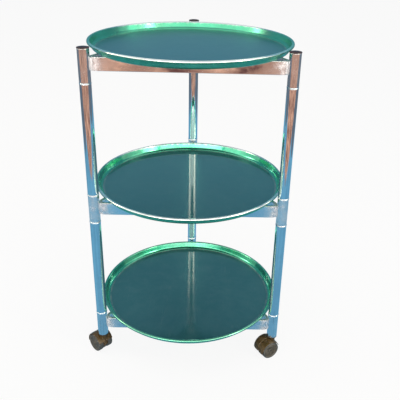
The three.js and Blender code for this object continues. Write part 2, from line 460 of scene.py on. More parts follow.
class ShaderTree:
    """Node tree of a material or of a shared effect, with short calls for what all finishes need."""

    def __init__(self, tree: bpy.types.NodeTree) -> None:
        """Keeps the tree.

        Args:
            tree: tree that the calls add nodes to.
        """
        self.tree = tree

    def add(self, kind: str, settings: dict[str, object] | None = None,
            values: dict[str, object] | None = None) -> bpy.types.Node:
        """Adds a node.

        Args:
            kind: Blender's name of the node type.
            settings: node properties to set.
            values: input values by socket name.

        Returns:
            The new node.
        """
        node = self.tree.nodes.new(kind)
        for name, value in (settings or {}).items():
            setattr(node, name, value)
        for name, value in (values or {}).items():
            node.inputs[name].default_value = value
        return node

    def join(self, output: Socket, target: Socket) -> None:
        """Links an output to an input.

        Args:
            output: socket that gives the value.
            target: socket that takes it.
        """
        self.tree.links.new(output, target)

    def math(self, operation: str, *operands: "Socket | float", clamped: bool = True) -> Socket:
        """Adds a math node.

        Args:
            operation: Blender's name of the operation.
            operands: sockets or numbers.
            clamped: whether the result is kept from 0 to 1.

        Returns:
            The result's socket.
        """
        node = self.add("ShaderNodeMath", {"operation": operation, "use_clamp": clamped})
        for place, operand in zip(node.inputs, operands):
            if isinstance(operand, Socket):
                self.join(operand, place)
            else:
                place.default_value = operand
        return node.outputs[0]

    def remap(self, value: Socket, source: Point,
              target: "Sequence[float | Socket]" = FULL_RANGE) -> Socket:
        """Maps a range of values to another one, smoothly and clamped.

        Args:
            value: socket with the value.
            source: range it comes from.
            target: range it goes to, as numbers or sockets.

        Returns:
            The result's socket.
        """
        node = self.add("ShaderNodeMapRange", {"interpolation_type": "SMOOTHSTEP"},
                        {"From Min": source[0], "From Max": source[1]})
        self.join(value, node.inputs["Value"])
        for name, bound in zip(("To Min", "To Max"), target):
            if isinstance(bound, Socket):
                self.join(bound, node.inputs[name])
            else:
                node.inputs[name].default_value = bound
        return node.outputs["Result"]

    def noise(self, vector: Socket, scale: "float | Socket", detail: float = 2.0,
              roughness: float = 0.5) -> Socket:
        """Adds a noise texture.

        Args:
            vector: coordinates.
            scale: waves in a metre, as a number or a socket.
            detail: octaves.
            roughness: weight of the fine octaves.

        Returns:
            The noise value's socket.
        """
        node = self.add("ShaderNodeTexNoise", None, {"Detail": detail, "Roughness": roughness})
        self.join(vector, node.inputs["Vector"])
        if isinstance(scale, Socket):
            self.join(scale, node.inputs["Scale"])
        else:
            node.inputs["Scale"].default_value = scale
        return node.outputs["Fac"]

    def product(self, first: Socket, second: "Socket | float") -> Socket:
        """Product of two values, kept from 0 to 1."""
        return self.math("MULTIPLY", first, second)

    def raised(self, base: Socket, mask: Socket, share: float) -> Socket:
        """Value that a share of a mask is added to."""
        return self.math("ADD", base, self.product(mask, share))

    def between(self, mask: Socket, low: "Socket | float", high: "Socket | float") -> Socket:
        """Value that goes from low to high with a mask."""
        return self.remap(mask, FULL_RANGE, (low, high))

    def mask(self, name: str) -> Socket:
        """Mask that the piece's builder has written under this name."""
        return self.add("ShaderNodeAttribute", {"attribute_name": name}).outputs["Fac"]

    def cloud(self, cloud: Cloud, scale: Socket | None = None, vector: Socket | None = None) -> Socket:
        """Adds noise that is cut to a mask.

        Args:
            cloud: the noise and its cut.
            scale: socket with the waves in a metre, instead of the cloud's own.
            vector: coordinates, instead of those of the piece itself.

        Returns:
            The mask's socket.
        """
        where = self.place() if vector is None else vector
        waves = cloud.scale if scale is None else scale
        return self.remap(self.noise(where, waves, cloud.detail, cloud.roughness), cloud.cut, cloud.shares)

    def place(self) -> Socket:
        """Coordinates of the piece itself, which move with it."""
        return self.add("ShaderNodeTexCoord").outputs["Object"]

    def stretched(self, vector: Socket, scale: Place, turn: Place = (0, 0, 0)) -> Socket:
        """Stretches and turns coordinates.

        Args:
            vector: coordinates.
            scale: factor for each axis.
            turn: rotation about each axis, in radians.

        Returns:
            The new coordinates.
        """
        node = self.add("ShaderNodeMapping", None, {"Scale": scale, "Rotation": turn})
        self.join(vector, node.inputs["Vector"])
        return node.outputs["Vector"]

    def mix(self, factor: Socket, first: "Colour | Socket", second: "Colour | Socket") -> Socket:
        """Mixes two colours.

        Args:
            factor: 0 for the first, 1 for the second.
            first: colour or socket.
            second: colour or socket.

        Returns:
            The mixed colour's socket.
        """
        node = self.add("ShaderNodeMix", {"data_type": "RGBA", "clamp_factor": True})
        self.join(factor, node.inputs["Factor"])
        colour_sockets = [s for s in node.inputs if s.type == "RGBA"]
        for place, colour in zip(colour_sockets, (first, second)):
            if isinstance(colour, Socket):
                self.join(colour, place)
            else:
                place.default_value = (*colour, 1.0)
        return next(s for s in node.outputs if s.type == "RGBA")

    def bump(self, height: Socket, distance: float, strength: float = 1.0) -> Socket:
        """Adds a bump node.

        Args:
            height: height from 0 to 1.
            distance: real height of 1, in metres.
            strength: share of the effect.

        Returns:
            The normal's socket.
        """
        node = self.add("ShaderNodeBump", None, {"Distance": distance, "Strength": strength})
        self.join(height, node.inputs["Height"])
        return node.outputs["Normal"]


class Effect:
    """Shared shader node group, built once and placed in each material with its own values."""

    title = ""
    inputs: dict[str, float] = {}
    outputs: tuple[str, ...] = ()
    _built: dict[str, bpy.types.NodeTree] = {}

    @classmethod
    def tree(cls) -> bpy.types.NodeTree:
        """The effect's node group, made at the first call.

        Returns:
            The group's tree.
        """
        if cls.title not in cls._built:
            group = bpy.data.node_groups.new(cls.title, "ShaderNodeTree")
            for name, value in cls.inputs.items():
                socket = group.interface.new_socket(name=name, in_out="INPUT", socket_type="NodeSocketFloat")
                socket.default_value = value
            for name in cls.outputs:
                group.interface.new_socket(name=name, in_out="OUTPUT", socket_type="NodeSocketFloat")
            inside = ShaderTree(group)
            source, sink = inside.add("NodeGroupInput"), inside.add("NodeGroupOutput")
            cls.build(inside, source.outputs, sink.inputs)
            cls._built[cls.title] = group
        return cls._built[cls.title]

    @classmethod
    def build(cls, inside: ShaderTree, given: Sockets, made: Sockets) -> None:
        """Fills the group with nodes.

        Args:
            inside: the group's tree.
            given: its inputs.
            made: its outputs.
        """
        raise NotImplementedError

    @classmethod
    def placed(cls, shader: ShaderTree, values: dict[str, float]) -> Sockets:
        """Places the group in a material.

        Args:
            shader: the material's tree.
            values: values of the group's inputs.

        Returns:
            The group node's outputs.
        """
        return shader.add("ShaderNodeGroup", {"node_tree": cls.tree()}, values).outputs


class EdgeWear(Effect):
    """Mask of rubbed edges, broken up by noise."""

    title = "edge wear"
    inputs = {"Amount": 0.5, "Scale": 300.0}
    outputs = ("Mask",)
    BREAKS = Cloud(cut=(0.38, 0.62), detail=4.0, roughness=0.6, shares=(0.35, 1.0))

    @classmethod
    def build(cls, inside: ShaderTree, given: Sockets, made: Sockets) -> None:
        """Breaks up the mask of the edges.

        Args:
            inside: the group's tree.
            given: its inputs.
            made: its outputs.
        """
        broken = inside.cloud(cls.BREAKS, given["Scale"])
        rubbed = inside.product(inside.mask(Form.WEAR_MASK), broken)
        inside.join(inside.product(rubbed, given["Amount"]), made["Mask"])


class Smudges(Effect):
    """Roughness that wanders between two values, as handling leaves it."""

    title = "smudges"
    inputs = {"Scale": 14.0, "Low": 0.05, "High": 0.12}
    outputs = ("Roughness", "Patches")
    BROAD_DETAIL = 5.0
    BROAD_ROUGHNESS = 0.65
    BROAD_SHARE = 0.75
    FINE_DETAIL = 3.0
    FINE_FACTOR = 9.0
    CUT: Point = (0.4, 0.62)

    @classmethod
    def build(cls, inside: ShaderTree, given: Sockets, made: Sockets) -> None:
        """Mixes broad and fine noise to patches, and a roughness from them.

        Args:
            inside: the group's tree.
            given: its inputs.
            made: its outputs.
        """
        coordinates = inside.place()
        broad = inside.noise(coordinates, given["Scale"], cls.BROAD_DETAIL, cls.BROAD_ROUGHNESS)
        fine_scale = inside.math("MULTIPLY", given["Scale"], cls.FINE_FACTOR, clamped=False)
        fine = inside.noise(coordinates, fine_scale, cls.FINE_DETAIL)
        both = inside.raised(inside.product(broad, cls.BROAD_SHARE), fine, 1 - cls.BROAD_SHARE)
        patches = inside.remap(both, cls.CUT)
        inside.join(inside.between(patches, given["Low"], given["High"]), made["Roughness"])
        inside.join(patches, made["Patches"])


class Scratches(Effect):
    """Thin straight scratches in three directions."""

    title = "scratches"
    inputs = {"Scale": 220.0, "Width": 0.012}
    outputs = ("Mask",)
    TURNS: tuple[Place, ...] = ((0.2, 0.1, 0.4), (-0.5, 0.3, 2.1), (0.4, -0.6, 1.2))
    STRETCH: Place = (1.0, 0.035, 0.3)
    LINE_DETAIL = 1.0
    NOISE_MIDDLE = 0.5
    WHERE = Cloud(cut=(0.52, 0.66), scale=35.0)

    @classmethod
    def build(cls, inside: ShaderTree, given: Sockets, made: Sockets) -> None:
        """Draws a line wherever stretched noise passes its middle value, in some places only.

        Args:
            inside: the group's tree.
            given: its inputs.
            made: its outputs.
        """
        coordinates = inside.place()
        total: Socket | None = None
        for turn in cls.TURNS:
            drawn = inside.stretched(coordinates, cls.STRETCH, turn)
            noise = inside.noise(drawn, given["Scale"], cls.LINE_DETAIL)
            off_middle = inside.math("SUBTRACT", noise, cls.NOISE_MIDDLE, clamped=False)
            distance = inside.math("ABSOLUTE", off_middle, clamped=False)
            line = inside.math("LESS_THAN", distance, given["Width"])
            total = line if total is None else inside.math("MAXIMUM", total, line)
        inside.join(inside.product(total, inside.cloud(cls.WHERE)), made["Mask"])


class Dust(Effect):
    """Mask of dust on surfaces that face up."""

    title = "dust"
    inputs = {"Amount": 0.3, "Scale": 60.0}
    outputs = ("Mask",)
    FACING_UP: Point = (0.25, 0.95)
    CLUMPS = Cloud(cut=(0.42, 0.68), detail=6.0, roughness=0.7, shares=(0.15, 1.0))

    @classmethod
    def build(cls, inside: ShaderTree, given: Sockets, made: Sockets) -> None:
        """Clumps dust where the surface faces up.

        Args:
            inside: the group's tree.
            given: its inputs.
            made: its outputs.
        """
        split = inside.add("ShaderNodeSeparateXYZ")
        inside.join(inside.add("ShaderNodeNewGeometry").outputs["Normal"], split.inputs[0])
        facing_up = inside.remap(split.outputs["Z"], cls.FACING_UP)
        lying = inside.product(facing_up, inside.cloud(cls.CLUMPS, given["Scale"]))
        inside.join(inside.product(lying, given["Amount"]), made["Mask"])


class Grain(Effect):
    """Fine even grain, as a height and as light and dark points."""

    title = "grain"
    inputs = {"Scale": 900.0}
    outputs = ("Height", "Points")
    DETAIL = 3.0
    ROUGHNESS = 0.6
    CUT: Point = (0.35, 0.65)

    @classmethod
    def build(cls, inside: ShaderTree, given: Sockets, made: Sockets) -> None:
        """Puts out the noise itself, and the same with more contrast.

        Args:
            inside: the group's tree.
            given: its inputs.
            made: its outputs.
        """
        grain = inside.noise(inside.place(), given["Scale"], cls.DETAIL, cls.ROUGHNESS)
        inside.join(grain, made["Height"])
        inside.join(inside.remap(grain, cls.CUT), made["Points"])


class Specks(Effect):
    """Sparse small specks, such as chips and crumbs."""

    title = "specks"
    inputs = {"Scale": 45.0, "Size": 0.05, "Share": 0.06}
    outputs = ("Mask",)

    @classmethod
    def build(cls, inside: ShaderTree, given: Sockets, made: Sockets) -> None:
        """Puts a speck in the middle of some of the cells.

        Args:
            inside: the group's tree.
            given: its inputs.
            made: its outputs.
        """
        cells = inside.add("ShaderNodeTexVoronoi")
        inside.join(inside.place(), cells.inputs["Vector"])
        inside.join(given["Scale"], cells.inputs["Scale"])
        near = inside.math("LESS_THAN", cells.outputs["Distance"], given["Size"])
        split = inside.add("ShaderNodeSeparateColor")
        inside.join(cells.outputs["Color"], split.inputs[0])
        chosen = inside.math("LESS_THAN", split.outputs[0], given["Share"])
        inside.join(inside.product(near, chosen), made["Mask"])


@dataclass(frozen=True)
class Finish:
    """Base of all finishes: one material with a Principled BSDF.

    Args:
        title: name of the material.
        roughness: roughness where nothing drives it.
        metallic: metalness.
    """

    title: str = "finish"
    roughness: float = 0.5
    metallic: float = 0.0

    def material(self) -> bpy.types.Material:
        """The finish's material, made at the first call.

        Returns:
            The material.
        """
        found = bpy.data.materials.get(self.title)
        if found is not None:
            return found
        made = bpy.data.materials.new(self.title)
        made.use_nodes = True
        shader = ShaderTree(made.node_tree)
        surface = made.node_tree.nodes["Principled BSDF"]
        surface.inputs["Roughness"].default_value = self.roughness
        surface.inputs["Metallic"].default_value = self.metallic
        self.dress(shader, surface.inputs)
        return made

    def dress(self, shader: ShaderTree, surface: Sockets) -> None:
        """Builds the nodes that feed the surface.

        Args:
            shader: the material's tree.
            surface: inputs of the Principled BSDF.
        """
        raise NotImplementedError

    @staticmethod
    def smudged(shader: ShaderTree, scale: float, low: float, high: float) -> Sockets:
        """Smudges of this scale between two roughnesses."""
        return Smudges.placed(shader, {"Scale": scale, "Low": low, "High": high})


@dataclass(frozen=True)
class PolishedChrome(Finish):
    """Chrome plate: mirror bright, slightly blue, with dark drawing streaks, smudges and dust.

    Args:
        plate: colour of the clean plate.
        haze: colour of the plate under a film of haze.
        streaked: colour of the dark streaks.
        rubbed: colour of rubbed edges.
        heat_tint_and_highlight: pale pink colour of the plate beside a brazed joint and on the posts: partly
            heat tint, partly a painted highlight.
        film: how much that pale mark dulls the plate's metalness there.
        smoothest: least roughness.
        roughest: greatest roughness.
        along: stretch of the streaks along each axis.
        streak_share: depth of the streaks.
        ripple_height: height of the waves in the plate.
        ripple_scale: waves in a metre.
    """

    title: str = "polished chrome"
    metallic: float = 1.0
    plate: Colour = (0.79, 0.855, 0.90)
    haze: Colour = (0.62, 0.68, 0.72)
    streaked: Colour = (0.30, 0.36, 0.40)
    rubbed: Colour = (0.86, 0.85, 0.82)
    heat_tint_and_highlight: Colour = (0.88, 0.80, 0.78)
    film: float = 0.6
    smoothest: float = 0.03
    roughest: float = 0.09
    along: Place = (1.0, 1.0, 0.018)
    streak_share: float = 0.55
    ripple_height: float = 0.012 * MM
    ripple_scale: float = 75.0

    # Mask of the pale pink film by brazed joints and on the posts: partly heat tint, partly a painted
    # highlight.
    HEAT_AND_HIGHLIGHT_MASK = "brazing haze and painted highlight"
    SMUDGE_SCALE = 16.0
    WEAR = {"Amount": 0.6, "Scale": 420.0}
    SCRATCHES = {"Scale": 260.0, "Width": 0.01}
    DUST = {"Amount": 0.22, "Scale": 90.0}
    STREAK_LINES = Cloud(cut=(0.56, 0.70), scale=420.0, detail=3.0, roughness=0.6)
    STREAK_BREAKS = Cloud(cut=(0.40, 0.60), scale=22.0)
    HEAT_AND_HIGHLIGHT_CLOUDS = Cloud(cut=(0.25, 0.75), scale=70.0, detail=3.0, shares=(0.35, 1.0))
    HAZE_SHARE = 0.35
    HEAT_AND_HIGHLIGHT_SHARE = 0.9
    SCRATCHED_ROUGHNESS = 0.10
    DUSTY_ROUGHNESS = 0.45
    WORN_ROUGHNESS = 0.12
    HEATED_ROUGHNESS = 0.30
    RIPPLE_STRETCH = (1.0, 1.0, 0.12)

    def dress(self, shader: ShaderTree, surface: Sockets) -> None:
        """Builds the plate's colour, its dull parts and its ripple.

        Args:
            shader: the material's tree.
            surface: inputs of the Principled BSDF.
        """
        smudges = self.smudged(shader, self.SMUDGE_SCALE, self.smoothest, self.roughest)
        wear = EdgeWear.placed(shader, self.WEAR)["Mask"]
        scratches = Scratches.placed(shader, self.SCRATCHES)["Mask"]
        dust = Dust.placed(shader, self.DUST)["Mask"]
        drawn = shader.stretched(shader.place(), self.along)
        lines = shader.cloud(self.STREAK_LINES, vector=drawn)
        broken = shader.product(lines, shader.cloud(self.STREAK_BREAKS))
        streaks = shader.product(broken, self.streak_share)
        film = shader.product(smudges["Patches"], self.HAZE_SHARE)
        streaky = shader.mix(streaks, shader.mix(film, self.plate, self.haze), self.streaked)
        # Pale pink, duller plate where that mask says: partly heat tint, partly a painted highlight.
        heat_and_highlight = shader.product(shader.mask(self.HEAT_AND_HIGHLIGHT_MASK), shader.cloud(self.HEAT_AND_HIGHLIGHT_CLOUDS))
        warm = shader.mix(shader.product(heat_and_highlight, self.HEAT_AND_HIGHLIGHT_SHARE), streaky, self.heat_tint_and_highlight)
        worn = shader.mix(wear, warm, self.rubbed)
        shader.join(shader.mix(dust, worn, self.haze), surface["Base Color"])
        scuffed = shader.raised(smudges["Roughness"], scratches, self.SCRATCHED_ROUGHNESS)
        dusty = shader.raised(scuffed, dust, self.DUSTY_ROUGHNESS)
        dulled = shader.raised(dusty, wear, self.WORN_ROUGHNESS)
        shader.join(shader.raised(dulled, heat_and_highlight, self.HEATED_ROUGHNESS), surface["Roughness"])
        dimmed = shader.product(heat_and_highlight, self.film)
        shader.join(shader.math("SUBTRACT", 1.0, dimmed), surface["Metallic"])
        waves = shader.noise(shader.stretched(shader.place(), self.RIPPLE_STRETCH), self.ripple_scale)
        shader.join(shader.bump(waves, self.ripple_height), surface["Normal"])


@dataclass(frozen=True)
class BrazedChrome(PolishedChrome):
    """Chrome plate over a brazed joint: the same plate on a lumpier, duller ground."""

    title: str = "chromed braze"
    smoothest: float = 0.10
    roughest: float = 0.24
    ripple_height: float = 0.10 * MM
    ripple_scale: float = 320.0


@dataclass(frozen=True)
class BrightCollar(Finish):
    """Turned aluminium collar: pale, with fine rings and darker traces in them.

    Args:
        metal: colour of the clean metal.
        stain: colour of the traces.
        smoothest: least roughness.
        roughest: greatest roughness.
    """

    title: str = "bright collar"
    metallic: float = 1.0
    metal: Colour = (0.88, 0.90, 0.92)
    stain: Colour = (0.46, 0.45, 0.43)
    smoothest: float = 0.16
    roughest: float = 0.34

    SMUDGE_SCALE = 60.0
    WEAR = {"Amount": 0.8, "Scale": 500.0}
    DIRT_SHARE = 0.45
    RING_STRETCH = (0.05, 0.05, 1.0)
    RING_SCALE = 3500.0
    RING_HEIGHT = 0.01 * MM

    def dress(self, shader: ShaderTree, surface: Sockets) -> None:
        """Builds the stained metal and its turning rings.

        Args:
            shader: the material's tree.
            surface: inputs of the Principled BSDF.
        """
        smudges = self.smudged(shader, self.SMUDGE_SCALE, self.smoothest, self.roughest)
        wear = EdgeWear.placed(shader, self.WEAR)["Mask"]
        dirt = shader.product(smudges["Patches"], self.DIRT_SHARE)
        stained = shader.mix(dirt, self.metal, self.stain)
        shader.join(shader.mix(wear, stained, self.metal), surface["Base Color"])
        shader.join(smudges["Roughness"], surface["Roughness"])
        rings = shader.noise(shader.stretched(shader.place(), self.RING_STRETCH), self.RING_SCALE)
        shader.join(shader.bump(rings, self.RING_HEIGHT), surface["Normal"])


@dataclass(frozen=True)
class GreenTray(Finish):
    """Green anodised sheet: satin floor painted a darker teal, glossier wall and bead painted a brighter
    emerald, clear oxide on top; the two greens are painted shade and painted sheen on one dyed sheet.

    Args:
        rim: colour of the wall and bead, a brighter emerald than the floor: painted sheen, as they mirror
            bright surroundings.
        rim_deep: colour of their darker patches.
        floor: colour of the floor, a darker teal than the wall and bead: painted shade of the dim things
            that it mirrors.
        floor_worn: colour of its greyer patches, in the same painted shade.
        bare: colour of bare metal on the rubbed crest of the bead.
        chip: colour of chips.
        dust_colour: colour of dust.
        dirt: colour of the pale line along the fold, partly settled dirt and partly a painted highlight.
        crest_wear: share of the crest that is rubbed bare.
        rim_coat: weight of the clear oxide on wall and bead.
        floor_coat: weight of the clear oxide on the floor.
        coat_ior: refractive index of the oxide.
        coat_roughness: roughness of the oxide.
        floor_metal: metalness of the floor, lower than that of the rim.
        edge_tint: tint of what the metal mirrors at a low angle.
        smoothest: least roughness of the metal under it.
        roughest: greatest roughness of that metal.
        floor_satin: how much rougher the metal of the floor is.
    """

    title: str = "green anodised tray"
    metallic: float = 0.85
    rim: Colour = (0.036, 0.475, 0.270)
    rim_deep: Colour = (0.020, 0.335, 0.185)
    floor: Colour = (0.035, 0.148, 0.158)
    floor_worn: Colour = (0.056, 0.176, 0.188)
    bare: Colour = (0.84, 0.86, 0.86)
    chip: Colour = (0.75, 0.80, 0.76)
    dust_colour: Colour = (0.40, 0.47, 0.48)
    dirt: Colour = (0.52, 0.50, 0.42)
    crest_wear: float = 0.95
    rim_coat: float = 1.0
    floor_coat: float = 0.8
    coat_ior: float = 1.7
    coat_roughness: float = 0.09
    floor_metal: float = 0.60
    edge_tint: Colour = (0.35, 1.0, 0.80)
    smoothest: float = 0.13
    roughest: float = 0.19
    floor_satin: float = 0.22

    SMUDGE_SCALE = 9.0
    SCRATCHES = {"Scale": 150.0, "Width": 0.008}
    DUST = {"Amount": 0.03, "Scale": 38.0}
    GRAIN = {"Scale": 1100.0}
    CHIPS = {"Scale": 24.0, "Size": 0.022, "Share": 0.02}
    PATCH_SHARE = 0.5
    GRAIN_SHARE = 0.4
    CREST_SHARE = 0.62
    RUBBING_SHARE = 0.5
    RUBBING_SCALE = 130.0
    RUBBING_DETAIL = 5.0
    RUBBING_ROUGHNESS = 0.65
    BARE_CUT = (0.42, 0.70)
    CREST_GAIN = 2.0
    SCRATCH_SHARE = 0.03
    FOLD_DIRT_AND_HIGHLIGHT = Cloud(cut=(0.35, 0.62), scale=60.0, detail=5.0, roughness=0.7, shares=(0.0, 0.3))
    DUSTY_ROUGHNESS = 0.8
    RUBBED_SMOOTHING = 0.08
    SCRATCHED_ROUGHNESS = 0.1
    OXIDE_GRAIN_HEIGHT = 0.004 * MM
    METAL_GRAIN_HEIGHT = 0.006 * MM

    def dress(self, shader: ShaderTree, surface: Sockets) -> None:
        """Builds the dyed metal, with its floor painted a darker teal than its rim as painted shade, the
        pale line in its fold, what has rubbed or settled on it, and the oxide.

        Args:
            shader: the material's tree.
            surface: inputs of the Principled BSDF.
        """
        smudges = self.smudged(shader, self.SMUDGE_SCALE, self.smoothest, self.roughest)
        scratches = Scratches.placed(shader, self.SCRATCHES)["Mask"]
        dust = Dust.placed(shader, self.DUST)["Mask"]
        grain = Grain.placed(shader, self.GRAIN)
        chips = Specks.placed(shader, self.CHIPS)["Mask"]
        on_floor = shader.mask(Tray.FLOOR_MASK)
        patchy = shader.product(smudges["Patches"], self.PATCH_SHARE)
        mottled = shader.raised(patchy, grain["Points"], self.GRAIN_SHARE)
        rim = shader.mix(smudges["Patches"], self.rim, self.rim_deep)
        # The floor takes a darker teal than the wall and bead: painted shade on one green sheet.
        sheet = shader.mix(on_floor, rim, shader.mix(mottled, self.floor, self.floor_worn))
        wear = self.rubbed_crest(shader)
        bare = shader.math("MAXIMUM", wear, shader.product(scratches, self.SCRATCH_SHARE))
        # Pale beige line along the fold: partly settled dirt, partly a painted highlight along the fold.
        settled = shader.product(shader.mask(Tray.FOLD_MASK), shader.cloud(self.FOLD_DIRT_AND_HIGHLIGHT))
        with_fold_line = shader.mix(settled, shader.mix(bare, sheet, self.bare), self.dirt)
        dusty = shader.mix(dust, with_fold_line, self.dust_colour)
        shader.join(shader.mix(chips, dusty, self.chip), surface["Base Color"])
        dulled = shader.raised(smudges["Roughness"], dust, self.DUSTY_ROUGHNESS)
        floor_rough = shader.raised(dulled, on_floor, self.floor_satin)
        satin = shader.math("SUBTRACT", floor_rough, shader.product(wear, self.RUBBED_SMOOTHING))
        shader.join(shader.raised(satin, scratches, self.SCRATCHED_ROUGHNESS), surface["Roughness"])
        shader.join(shader.between(on_floor, self.metallic, self.floor_metal), surface["Metallic"])
        coat = shader.between(on_floor, self.rim_coat, self.floor_coat)
        uncoated = shader.math("MAXIMUM", shader.math("MAXIMUM", chips, dust), wear)
        whole = shader.math("SUBTRACT", 1.0, uncoated)
        shader.join(shader.product(coat, whole), surface["Coat Weight"])
        surface["Specular Tint"].default_value = (*self.edge_tint, 1.0)
        surface["Coat IOR"].default_value = self.coat_ior
        surface["Coat Roughness"].default_value = self.coat_roughness
        shader.join(shader.bump(grain["Height"], self.OXIDE_GRAIN_HEIGHT), surface["Coat Normal"])
        shader.join(shader.bump(grain["Height"], self.METAL_GRAIN_HEIGHT), surface["Normal"])

    def rubbed_crest(self, shader: ShaderTree) -> Socket:
        """Mask of the metal that hands have rubbed bare along the crest of the bead.

        Args:
            shader: the material's tree.

        Returns:
            The mask's socket.
        """
        on_crest = shader.mask(Tray.CREST_MASK)
        detail, roughness = self.RUBBING_DETAIL, self.RUBBING_ROUGHNESS
        rubbing = shader.noise(shader.place(), self.RUBBING_SCALE, detail, roughness)
        within = shader.product(on_crest, self.CREST_SHARE)
        reached = shader.raised(within, rubbing, self.RUBBING_SHARE)
        bared = shader.product(shader.remap(reached, self.BARE_CUT), on_crest)
        return shader.product(shader.product(bared, self.CREST_GAIN), self.crest_wear)


@dataclass(frozen=True)
class MouldedPlastic(Finish):
    """Moulded plastic: fine grain, scuffed edges and dust.

    Args:
        body: colour of the plastic.
        faded: colour where it has aged.
        scuffed: colour of rubbed edges.
        dust_colour: colour of dust.
        dust_amount: share of dust on top faces.
        low: least roughness.
        high: greatest roughness.
        grain_scale: grains in a metre.
        grain_height: height of the grain.
        shine: strength of the plastic's own gloss, 0.5 for a usual one.
    """

    title: str = "moulded plastic"
    body: Colour = (0.05, 0.05, 0.05)
    faded: Colour = (0.08, 0.08, 0.08)
    scuffed: Colour = (0.2, 0.2, 0.2)
    dust_colour: Colour = (0.38, 0.36, 0.33)
    dust_amount: float = 0.15
    low: float = 0.28
    high: float = 0.46
    grain_scale: float = 1500.0
    grain_height: float = 0.02 * MM
    shine: float = 0.5

    SMUDGE_SCALE = 70.0
    WEAR = {"Amount": 0.75, "Scale": 380.0}
    SCRATCHES = {"Scale": 500.0, "Width": 0.02}
    DUST_SCALE = 220.0
    SCRATCH_SHARE = 0.4
    DUSTY_ROUGHNESS = 0.6
    WORN_ROUGHNESS = 0.15

    def dress(self, shader: ShaderTree, surface: Sockets) -> None:
        """Builds the aged and scuffed plastic and its grain.

        Args:
            shader: the material's tree.
            surface: inputs of the Principled BSDF.
        """
        surface["Specular IOR Level"].default_value = self.shine
        smudges = self.smudged(shader, self.SMUDGE_SCALE, self.low, self.high)
        wear = EdgeWear.placed(shader, self.WEAR)["Mask"]
        scratches = Scratches.placed(shader, self.SCRATCHES)["Mask"]
        dust = Dust.placed(shader, {"Amount": self.dust_amount, "Scale": self.DUST_SCALE})["Mask"]
        grain = Grain.placed(shader, {"Scale": self.grain_scale})
        aged = shader.mix(smudges["Patches"], self.body, self.faded)
        rubbed = shader.math("MAXIMUM", wear, shader.product(scratches, self.SCRATCH_SHARE))
        worn = shader.mix(rubbed, aged, self.scuffed)
        shader.join(shader.mix(dust, worn, self.dust_colour), surface["Base Color"])
        dulled = shader.raised(smudges["Roughness"], dust, self.DUSTY_ROUGHNESS)
        shader.join(shader.raised(dulled, wear, self.WORN_ROUGHNESS), surface["Roughness"])
        shader.join(shader.bump(grain["Height"], self.grain_height), surface["Normal"])


@dataclass(frozen=True)
class DrawnSteel(Finish):
    """Bright drawn steel with fine marks round it and specks of rust.

    Args:
        steel: colour of the clean metal.
        oiled: colour under old oil.
        rust: colour of the specks.
        smoothest: least roughness.
        roughest: greatest roughness.
    """

    title: str = "drawn steel"
    metallic: float = 1.0
    steel: Colour = (0.58, 0.57, 0.56)
    oiled: Colour = (0.30, 0.28, 0.25)
    rust: Colour = (0.25, 0.11, 0.05)
    smoothest: float = 0.26
    roughest: float = 0.44

    SMUDGE_SCALE = 80.0
    RUST_SPECKS = {"Scale": 420.0, "Size": 0.3, "Share": 0.12}
    RUSTY_ROUGHNESS = 0.4
    MARK_STRETCH = (0.05, 0.05, 1.0)
    MARK_SCALE = 2600.0
    MARK_HEIGHT = 0.015 * MM

    def dress(self, shader: ShaderTree, surface: Sockets) -> None:
        """Builds the oily, speckled metal and its drawing marks.

        Args:
            shader: the material's tree.
            surface: inputs of the Principled BSDF.
        """
        smudges = self.smudged(shader, self.SMUDGE_SCALE, self.smoothest, self.roughest)
        specks = Specks.placed(shader, self.RUST_SPECKS)["Mask"]
        oily = shader.mix(smudges["Patches"], self.steel, self.oiled)
        shader.join(shader.mix(specks, oily, self.rust), surface["Base Color"])
        shader.join(shader.raised(smudges["Roughness"], specks, self.RUSTY_ROUGHNESS), surface["Roughness"])
        shader.join(shader.math("SUBTRACT", 1.0, specks), surface["Metallic"])
        marks = shader.noise(shader.stretched(shader.place(), self.MARK_STRETCH), self.MARK_SCALE)
        shader.join(shader.bump(marks, self.MARK_HEIGHT), surface["Normal"])


CHROME = PolishedChrome()
BRAZE = BrazedChrome()
COLLAR = BrightCollar()
BAR_CHROME = PolishedChrome(title="polished chrome bar", along=(0.03, 0.03, 1.0), streak_share=0.25)
TRAY_GREEN = GreenTray(floor_coat=1.0, coat_roughness=0.06)
UNRUBBED_GREEN = GreenTray(title="green anodised tray, rim hardly rubbed", crest_wear=0.12)
# The top tray's floor is painted a bluer, lighter teal than the others': painted light, as no tray shades it
# from above.
DULLED_GREEN = GreenTray(
    title="green anodised tray, wiped dull", coat_roughness=0.30,
    floor=(0.038, 0.135, 0.185), floor_worn=(0.058, 0.160, 0.215))
TRAY_FINISHES = {Tier.LOWER: UNRUBBED_GREEN, Tier.MIDDLE: TRAY_GREEN, Tier.TOP: DULLED_GREEN}
STEEL = DrawnSteel()
CAP_PLASTIC = MouldedPlastic(
    title="maroon cap plastic", body=(0.030, 0.009, 0.010), faded=(0.050, 0.018, 0.018),
    scuffed=(0.12, 0.07, 0.06), dust_amount=0.05, shine=0.2)
SOCKET_PLASTIC = MouldedPlastic(
    title="black socket plastic", body=(0.012, 0.010, 0.009), faded=(0.022, 0.019, 0.017),
    scuffed=(0.08, 0.07, 0.06), dust_amount=0.10)
HOOD_PLASTIC = MouldedPlastic(
    title="brown hood plastic", body=(0.080, 0.042, 0.006), faded=(0.125, 0.072, 0.018),
    scuffed=(0.26, 0.18, 0.10), dust_amount=0.06, low=0.24, high=0.40, shine=0.3)
WHEEL_PLASTIC = MouldedPlastic(
    title="tan wheel plastic", body=(0.066, 0.050, 0.030), faded=(0.100, 0.080, 0.054),
    scuffed=(0.22, 0.19, 0.15), dust_amount=0.06, low=0.36, high=0.54, shine=0.35)
